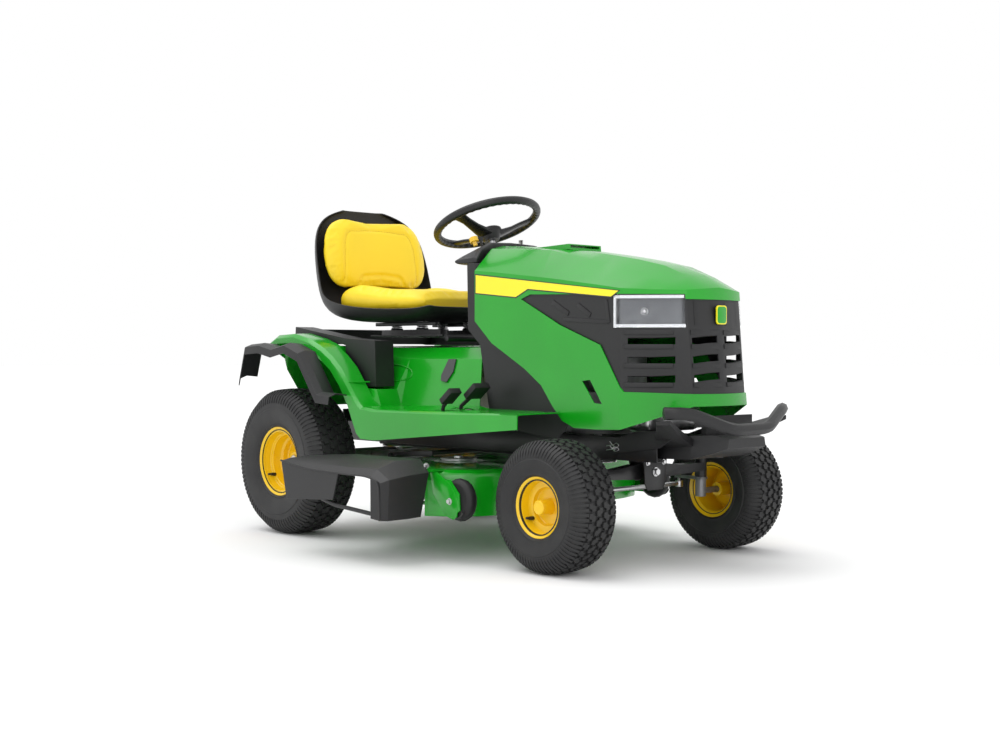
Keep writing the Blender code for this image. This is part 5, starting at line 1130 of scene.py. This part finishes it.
# Heights of the shelves between the louvres, and the ends of the two fins as (y, z).
LOUVRE_ROWS = (0.6780, 0.6380, 0.5840, 0.5300)
FIN_PAIRS = (((-0.466, 0.771), (-0.534, 0.734)), ((-0.570, 0.760), (-0.622, 0.728)))

# The fine ribs behind the badge: how many, the lowest one's height and the step between them.
BADGE_RIBS, BADGE_RIBS_FOOT, BADGE_RIB_PITCH = 16, 0.7000, 0.0042


def trim_grille():
    """Shelves between the louvres, ledges and fins in the side panels, and ribs behind the badge."""
    bm = bmesh.new()
    for sign in (-1, 1):
        for height in LOUVRE_ROWS:
            for start, end, way in (
                    ((sign * 0.2355, -0.750), (sign * 0.1480, -0.858), (-sign * 0.77, 0.64, 0.0)),
                    ((sign * 0.1120, -0.905), (sign * 0.0120, -0.905), (0.0, 1.0, 0.0))):
                ends = laid_on("grille", [(*start, height), (*end, height)], way, 0.0004)
                if len(ends) == 2:
                    bar_between(bm, *ends, 0.0052, 0.0135, 0.0013)
        face = sign * (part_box("grille")[1].x - HOME.x)
        for start, end in FIN_PAIRS:
            bar_between(bm, (face, *start), (face, *end), 0.0050, 0.0150, 0.0016)
        bar_between(bm, (face, -0.512, 0.7185), (face, -0.692, 0.7080), 0.0044, 0.0120, 0.0014)
        bar_between(bm, (face, -0.684, 0.7720), (face, -0.695, 0.7060), 0.0044, 0.0110, 0.0014)
    for step in range(BADGE_RIBS):
        height = BADGE_RIBS_FOOT + step * BADGE_RIB_PITCH
        for side in (-1, 1):
            ends = laid_on("grille", [(side * 0.096, -0.90, height), (side * 0.026, -0.90, height)],
                           (0, 1, 0), 0.0002)
            if len(ends) == 2:
                bar_between(bm, *ends, 0.0024, 0.0020)
    shown("grille_trim", bm, "plastic", "hood", (), 30)


def hang_chute():
    """The deflector's hinge rod, held by a bolt at each end."""
    bm = bmesh.new()
    front, rear = (-0.520, -0.222, 0.286), (-0.520, 0.205, 0.286)
    rod(bm, front, rear, 0.0040, 20, None, 0.0008)
    hex_bolt(bm, front, (0, -1, 0), 0.0085)
    hex_bolt(bm, rear, (0, 1, 0), 0.0085)
    shown("chute_hinge_rod", bm, "zinc", "chute", (), 35)


def trim_chute():
    """A bead along the deflector's outer edge, and the brace under its flap."""
    bm = bmesh.new()
    edge = [(-0.7010, 0.272, 0.2835), (-0.7015, 0.127, 0.2665), (-0.7015, -0.029, 0.2625),
            (-0.7015, -0.170, 0.2625), (-0.6990, -0.224, 0.2500), (-0.6975, -0.226, 0.2000),
            (-0.6965, -0.226, 0.1370)]
    sweep(bm, rounded(edge, 0.030, 6), 0.0030, 10)
    brace = [(-0.6930, 0.060, 0.1790), (-0.6900, 0.000, 0.1650), (-0.6850, -0.100, 0.1570),
             (-0.6800, -0.215, 0.1480)]
    sweep(bm, rounded(brace, 0.02, 4), 0.0062, 10)
    shown("chute_bead", bm, "plastic", "chute", (), 40)


# Outline of a gauge wheel's cheek beside a wheel at y = -0.300 and z = 0.186, as (y, z).
GAUGE_CHEEK = [(-0.190, 0.262), (-0.221, 0.2655), (-0.285, 0.231), (-0.321, 0.184), (-0.312, 0.136),
               (-0.296, 0.129),
               (-0.262, 0.137), (-0.205, 0.200)]


GAUGE_HOME = Vector((0.0, -0.300, 0.186))
CHEEK_GAP, CHEEK_THICKNESS = 0.0030, 0.0040


def hang_gauge_brackets():
    """The cheek that carries each gauge wheel, with its bolt and the arc of its height slot."""
    for side, sign in (("right", -1), ("left", 1)):
        node = "gauge_wheel_" + side
        low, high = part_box(node)
        centre = (low + high) / 2 - HOME
        outer = (low.x if sign < 0 else high.x) - HOME.x + sign * CHEEK_GAP
        shift = centre - GAUGE_HOME
        outline = [(y + shift.y, z + shift.z) for y, z in GAUGE_CHEEK]
        face = outer + sign * CHEEK_THICKNESS
        bm = bmesh.new()
        plate(bm, outline, "x", *sorted((outer, face)), 0.0008)
        shown(node + "_cheek", bm, "green", "deck", (), 30)
        bm = bmesh.new()
        hex_bolt(bm, (face, centre.y + 0.018, centre.z - 0.004), (sign, 0, 0), 0.0095)
        shown(node + "_bolt", bm, "zinc", "deck", (), 30)
        bm = bmesh.new()
        slot = [(face, centre.y + math.cos(t) * 0.030 - 0.012, centre.z + math.sin(t) * 0.030 - 0.022)
                for t in (math.radians(200 + 12 * k) for k in range(7))]
        sweep(bm, slot, 0.0032, 10)
        shown(node + "_slot", bm, "steel_paint", "deck", (), 40)


def clip_rails():
    """A hairpin clip through a pin on each frame rail."""
    bm = bmesh.new()
    for sign in (-1, 1):
        x = sign * 0.1585
        for lift in (0.0, 0.012):
            wire = [(x, -0.612, 0.336 + lift), (x, -0.640, 0.340 + lift), (x, -0.652, 0.347 + lift),
                    (x, -0.664, 0.340 + lift), (x, -0.652, 0.333 + lift), (x, -0.640, 0.337 + lift),
                    (x, -0.626, 0.350 + lift)]
            sweep(bm, rounded(wire, 0.006, 5), 0.0012, 8)
        rod(bm, (sign * 0.150, -0.646, 0.342), (sign * 0.1650, -0.646, 0.342), 0.0050, 20, None, 0.0010)
    shown("hairpin_clips", bm, "zinc", "chassis", (), 40)


def keep_axle():
    """The plate that keeps the front axle on its pivot, and its bolts."""
    bm = bmesh.new()
    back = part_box("front_crossmember")[0].y - HOME.y - 0.0005
    front = back - 0.0045
    outline = [(-0.052, 0.306), (0.052, 0.306), (0.046, 0.232), (0.034, 0.212), (-0.034, 0.212),
               (-0.046, 0.232)]
    plate(bm, outline, "y", front, back, 0.0010)
    shown("axle_keeper", bm, "steel_paint", "chassis", (), 30)
    bm = bmesh.new()
    hex_bolt(bm, (0.0, front, 0.266), (0, -1, 0), 0.0130)
    for x in (-0.036, 0.036):
        hex_bolt(bm, (x, front, 0.294), (0, -1, 0), 0.0075)
    shown("axle_keeper_bolts", bm, "zinc", "chassis", (), 30)


def cap_kingpins():
    """A washer and a bolt on top of each kingpin."""
    for side, sign in (("right", -1), ("left", 1)):
        bm = bmesh.new()
        x, y, top = sign * 0.262, -0.6225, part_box("spindle_" + side)[1].z + 0.0004
        rod(bm, (x, y, top - 0.0030), (x, y, top + 0.0016), 0.0160, 28, None, 0.0008)
        hex_bolt(bm, (x, y, top + 0.0012), (0, 0, 1), 0.0100)
        shown("kingpin_cap_" + side, bm, "zinc", "spindle_" + side, (), 30)


# The open D pressed into each side of the tunnel, as (y, z).
D_RIB = [(0.312, 0.581), (0.262, 0.577), (0.222, 0.566), (0.204, 0.551), (0.218, 0.535), (0.262, 0.526),
         (0.312, 0.523)]


def press_fender_ribs():
    """A pressed rib on each side of the tunnel."""
    bm = bmesh.new()
    path = rounded([Vector(point) for point in D_RIB], 0.02, 5)
    for sign in (-1, 1):
        laid = laid_on("fender_deck", [(sign * 0.30, y, z) for y, z in path], (-sign, 0, 0))
        if len(laid) > 3:
            sweep(bm, laid, 0.0030, 10)
    shown("tunnel_ribs", bm, "green", "chassis", (), 50)


def coil(bm, foot, top, radius, wire, turns):
    """A helical spring between two points."""
    foot, top = Vector(foot), Vector(top)
    steps = turns * 16
    points = []
    for i in range(steps + 1):
        share = i / steps
        angle = math.tau * turns * share
        points.append(foot.lerp(top,
                                share) + Vector((radius * math.cos(angle), radius * math.sin(angle), 0.0)))
    sweep(bm, points, wire, 8)


SPRING_X, SLIDE_X = 0.105, 0.130


def fit_seat_springs():
    """Four springs on their cups between the hinged base and the pan, and the slide's bars."""
    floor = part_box("seat_base")[1].z + 0.0005
    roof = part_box("seat_shell")[0].z - 0.0005
    bm = bmesh.new()
    cups = bmesh.new()
    for sign in (-1, 1):
        for y in (0.300, 0.440):
            x = sign * SPRING_X
            coil(bm, (x, y, floor + 0.003), (x, y, roof + 0.006), 0.0170, 0.0022, 4)
            rod(cups, (x, y, floor - 0.001), (x, y, floor + 0.0050), 0.0225, 28, 0.0200, 0.0010)
    shown("seat_springs", bm, "zinc", "seat", (), 50)
    for sign in (-1, 1):
        x = sign * SLIDE_X
        bar_between(cups, (x, 0.190, roof - 0.004), (x, 0.520, roof - 0.004), 0.018, 0.012, 0.0020)
    shown("seat_slide_bars", cups, "steel_paint", "seat", (), 35)


def dress_engine():
    """The screen over the blower, and the oil filter."""
    hub = Vector((middle("engine").x - HOME.x, -0.430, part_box("engine")[1].z))
    bm = bmesh.new()
    for k in range(6):
        radius = 0.024 + k * 0.0105
        ring = [(-0.0016, radius), (0.0016, radius), (0.0022, radius + 0.0028), (-0.0016, radius + 0.0028)]
        lathe(bm, ring, hub, (0, 0, 1), 48)
    for k in range(12):
        angle = math.tau * k / 12
        way = Vector((math.cos(angle), math.sin(angle), 0))
        rod(bm, hub + way * 0.022, hub + way * 0.084, 0.0018, 8)
    # The screen takes the darker plastic that paints shade.
    shown("blower_screen", bm, "shaded_plastic", "chassis", (), 40)
    bm = bmesh.new()
    rod(bm, (0.150, -0.520, 0.462), (0.178, -0.545, 0.462), 0.0330, 40, 0.0325, 0.0030)
    shown("oil_filter", bm, "knob", "chassis", (), 35)


def cap_tank():
    """The tank's knurled filler cap."""
    at, top = middle("fuel_tank") - HOME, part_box("fuel_tank")[1].z
    bm = bmesh.new()
    cap = [(0.0, 0.0005), (0.0, 0.034), (0.016, 0.034), (0.020, 0.031), (0.022, 0.026), (0.022, 0.0005)]
    lathe(bm, cap, (at.x, at.y, top + 0.0002), (0, 0, 1), 48)
    for k in range(24):
        angle = math.tau * k / 24
        foot = Vector((at.x + 0.0338 * math.cos(angle), at.y + 0.0338 * math.sin(angle), top + 0.002))
        rod(bm, foot, foot + Vector((0, 0, 0.014)), 0.0014, 6)
    # The cap takes the darker plastic that paints shade.
    shown("tank_cap", bm, "shaded_plastic", "chassis", (), 35)


# ---------------------------------------------------------------- plain forms that take softened edges

# Each plain node with its finish, the width of its broken edges in metres, and the angle in degrees from
# which an edge shows as one.
SOFT_FORMS = [
    ("hood_shell", "green", 0.0012, 14), ("fender_deck", "green", 0.0012, 16),
    ("deck_shell", "green", 0.0010, 25), ("pedestal", "plastic", 0.0020, 14),
    ("dash_panel", "plastic", 0.0030, 14), ("seat_surround", "plastic", 0.0035, 18),
    ("rear_guard_right", "plastic", 0.0012, 14), ("rear_guard_left", "plastic", 0.0012, 14),
    ("grille", "plastic", 0.0010, 20), ("bumper_bracket", "plastic", 0.0030, 20),
    ("discharge_chute", "plastic", 0.0012, 14), ("frame_rail_right", "steel_paint", 0.0010, 30),
    ("frame_rail_left", "steel_paint", 0.0010, 30), ("front_crossmember", "steel_paint", 0.0010, 30),
    ("hitch_plate", "steel_paint", 0.0008, 30), ("axle_beam", "steel_paint", 0.0012, 30),
    ("lift_shaft", "steel_paint", 0.0008, 40), ("lift_lever", "steel_paint", 0.0008, 40),
    ("seat_base", "steel_paint", 0.0010, 30), ("spindle_right", "casting", 0.0008, 40),
    ("spindle_left", "casting", 0.0008, 40), ("engine", "casting", 0.0030, 40),
    ("transaxle", "casting", 0.0020, 40), ("muffler", "zinc", 0.0020, 30),
    # The battery and the gauge wheels take the darker plastic that paints shade.
    ("battery", "shaded_plastic", 0.0025, 40), ("fuel_tank", "tank", 0.0010, 40),
    ("forward_pedal", "pad", 0.0020, 40), ("reverse_pedal", "pad", 0.0020, 40),
    ("brake_pedal", "pad", 0.0020, 40), ("throttle_lever", "plastic", 0.0012, 40),
    ("pto_knob", "knob", 0.0015, 40), ("ignition_key", "zinc", 0.0005, 40),
    ("gauge_wheel_right", "shaded_plastic", 0.0020, 35), ("gauge_wheel_left", "shaded_plastic", 0.0020, 35),
    ("blade_right", "zinc", 0.0006, 30), ("blade_left", "zinc", 0.0006, 30),
    ("pulley_right", "zinc", 0.0006, 35), ("pulley_left", "zinc", 0.0006, 35),
    ("engine_pulley", "zinc", 0.0006, 35), ("drive_pulley", "zinc", 0.0006, 35),
    ("tie_rod", "zinc", 0.0006, 40), ("bumper", "plastic", 0.0, 40),
]
PLAIN_NODES = [("steering_shaft", "zinc"), ("drive_belt", "pad"), ("fuel_window", "smoke")]


# ---------------------------------------------------------------- add-on


class MowerColours(bpy.types.PropertyGroup):
    """Colours that an owner may change."""

    green: bpy.props.FloatVectorProperty(
        name="Sheet metal", description="Enamel on the hood, fenders and deck", subtype="COLOR", size=3,
        default=(0.004, 0.325, 0.009), min=0.0, max=1.0)
    rim_yellow: bpy.props.FloatVectorProperty(
        name="Wheels", description="Enamel on the wheel rims", subtype="COLOR", size=3,
        default=(0.88, 0.56, 0.005), min=0.0, max=1.0)
    seat_yellow: bpy.props.FloatVectorProperty(
        name="Seat", description="Vinyl on the cushions", subtype="COLOR", size=3,
        default=(0.95, 0.69, 0.015), min=0.0, max=1.0)
    stripe_yellow: bpy.props.FloatVectorProperty(
        name="Stripe", description="Stripe on the hood's sides", subtype="COLOR", size=3,
        default=(0.95, 0.83, 0.005), min=0.0, max=1.0)
    plastic: bpy.props.FloatVectorProperty(
        name="Mouldings", description="Dark plastic of the grille, dash and guards", subtype="COLOR",
        size=3, default=(0.010, 0.010, 0.011), min=0.0, max=1.0)


class MOWER_OT_stage(bpy.types.Operator):
    """Pale floor, soft light and a camera"""

    bl_idname = "mower.stage"
    bl_label = "Stage"

    def execute(self, context):
        build_stage()
        return {"FINISHED"}


class MOWER_OT_finishes(bpy.types.Operator):
    """Mix the finishes from the panel's colours"""

    bl_idname = "mower.finishes"
    bl_label = "Finishes"

    def execute(self, context):
        mix_finishes(context.scene.mower_colours)
        return {"FINISHED"}


class MOWER_OT_forms(bpy.types.Operator):
    """Panels, mouldings and castings with softened edges"""

    bl_idname = "mower.forms"
    bl_label = "Panels and Castings"

    def execute(self, context):
        for node, finish, radius, angle in SOFT_FORMS:
            softened(node, finish, radius, angle)
        for node, finish in PLAIN_NODES:
            cad_finish(node, finish)
        return {"FINISHED"}


class MOWER_OT_wheels(bpy.types.Operator):
    """Treaded tyres on pressed rims"""

    bl_idname = "mower.wheels"
    bl_label = "Wheels"

    def execute(self, context):
        for side in ("right", "left"):
            lay_tyre("front_tyre_" + side, 0.0873, 0.069, 0.050, 4, 42)
            lay_tyre("rear_tyre_" + side, 0.1185, 0.077, 0.060, 4, 46)
            press_rim("front_rim_" + side, FRONT_RIM, 0.0575, 0.0205, 0.0640, 0.0335)
            press_rim("rear_rim_" + side, REAR_RIM, 0.0112, 0.0190, 0.0900, 0.0420)
        return {"FINISHED"}


class MOWER_OT_hood(bpy.types.Operator):
    """Stripe, lamps and badge"""

    bl_idname = "mower.hood"
    bl_label = "Hood Trim"

    def execute(self, context):
        lay_stripe()
        fit_lamps()
        fit_badge()
        return {"FINISHED"}


class MOWER_OT_seat(bpy.types.Operator):
    """Cushion and backrest, filled and sewn"""

    bl_idname = "mower.seat"
    bl_label = "Seat"

    def execute(self, context):
        sew_cushion()
        mould_seat_shell()
        sew_backrest()
        return {"FINISHED"}


class MOWER_OT_controls(bpy.types.Operator):
    """Steering wheel"""

    bl_idname = "mower.controls"
    bl_label = "Controls"

    def execute(self, context):
        turn_steering_wheel()
        return {"FINISHED"}


class MOWER_OT_trim(bpy.types.Operator):
    """Small pieces on the body, the deck and the running gear"""

    bl_idname = "mower.trim"
    bl_label = "Trim and Fittings"

    def execute(self, context):
        trim_grille()
        hang_chute()
        trim_chute()
        hang_gauge_brackets()
        clip_rails()
        keep_axle()
        cap_kingpins()
        press_fender_ribs()
        fit_seat_springs()
        dress_engine()
        cap_tank()
        return {"FINISHED"}


class MOWER_PT_panel(bpy.types.Panel):
    """Lists the mower's colours and build steps"""

    bl_idname = "MOWER_PT_panel"
    bl_label = "Riding Mower"
    bl_space_type = "VIEW_3D"
    bl_region_type = "UI"
    bl_category = "Mower"

    def draw(self, context):
        for key in MowerColours.__annotations__:
            self.layout.prop(context.scene.mower_colours, key)
        for operator in STEPS:
            self.layout.operator(operator.bl_idname)


STEPS = (MOWER_OT_finishes, MOWER_OT_stage, MOWER_OT_forms, MOWER_OT_wheels, MOWER_OT_hood, MOWER_OT_seat,
         MOWER_OT_controls, MOWER_OT_trim)


def register():
    for kind in (MowerColours, *STEPS, MOWER_PT_panel):
        bpy.utils.register_class(kind)
    bpy.types.Scene.mower_colours = bpy.props.PointerProperty(type=MowerColours)


def unregister():
    del bpy.types.Scene.mower_colours
    for kind in reversed((MowerColours, *STEPS, MOWER_PT_panel)):
        bpy.utils.unregister_class(kind)


# ---------------------------------------------------------------- stage


CAMERA_PLACE, CAMERA_WAY, CAMERA_LENS = Vector((-3.0745, -3.3199, 0.621)), Vector((0.6762, 0.7366,
                                                                                   -0.0161)), 50.1
FLOOR_RADIUS = 60.0


def facing(way):
    """The turn that points a camera or a lamp along a direction."""
    return way.to_track_quat("-Z", "Y").to_euler()


def linked(name, data):
    """An object made for some data and put in the scene."""
    obj = bpy.data.objects.new(name, data)
    bpy.context.scene.collection.objects.link(obj)
    return obj


def lay_floor():
    """A wide pale disc."""
    shading = Shading("pale_floor")
    tone = shading.noise(0.6, 2.0)
    shading.finish(Base_Color=shading.mix(tone, (0.86, 0.86, 0.86), (0.88, 0.88, 0.88)), Roughness=0.9)
    bm = bmesh.new()
    bmesh.ops.create_circle(bm, cap_ends=True, segments=96, radius=FLOOR_RADIUS)
    mesh = bpy.data.meshes.new("floor")
    bm.to_mesh(mesh)
    bm.free()
    mesh.materials.append(shading.material)
    linked("floor", mesh)


def hang_lights():
    """A white sky, a very broad sun and one soft lamp before the nose."""
    world = bpy.data.worlds.new("studio")
    world.use_nodes = True
    world.node_tree.nodes["Background"].inputs["Color"].default_value = (1.0, 1.0, 1.0, 1.0)
    world.node_tree.nodes["Background"].inputs["Strength"].default_value = 1.0
    bpy.context.scene.world = world
    sky = bpy.data.lights.new("broad_sky", "SUN")
    sky.energy, sky.angle = 1.1, math.radians(50)
    linked("broad_sky", sky).rotation_euler = (math.radians(-14), math.radians(-12), 0.0)
    fill = bpy.data.lights.new("front_fill", "AREA")
    fill.shape, fill.size, fill.energy = "SQUARE", 2.2, 26.0
    lamp = linked("front_fill", fill)
    place, target = Vector((-3.4, -3.2, 2.6)), Vector((0.0, -0.2, 0.5))
    lamp.location, lamp.rotation_euler = place, facing(target - place)


def build_stage():
    """Floor, lights and camera."""
    lay_floor()
    hang_lights()
    bpy.context.scene.view_settings.view_transform = "Standard"
    data = bpy.data.cameras.new("camera")
    data.lens, data.sensor_width = CAMERA_LENS, 36.0
    camera = linked("camera", data)
    camera.location, camera.rotation_euler = CAMERA_PLACE, facing(CAMERA_WAY)
    bpy.context.scene.camera = camera


def main():
    register()
    for operator in STEPS:
        group, name = operator.bl_idname.split(".")
        getattr(getattr(bpy.ops, group), name)()


if __name__ == "__main__":
    main()
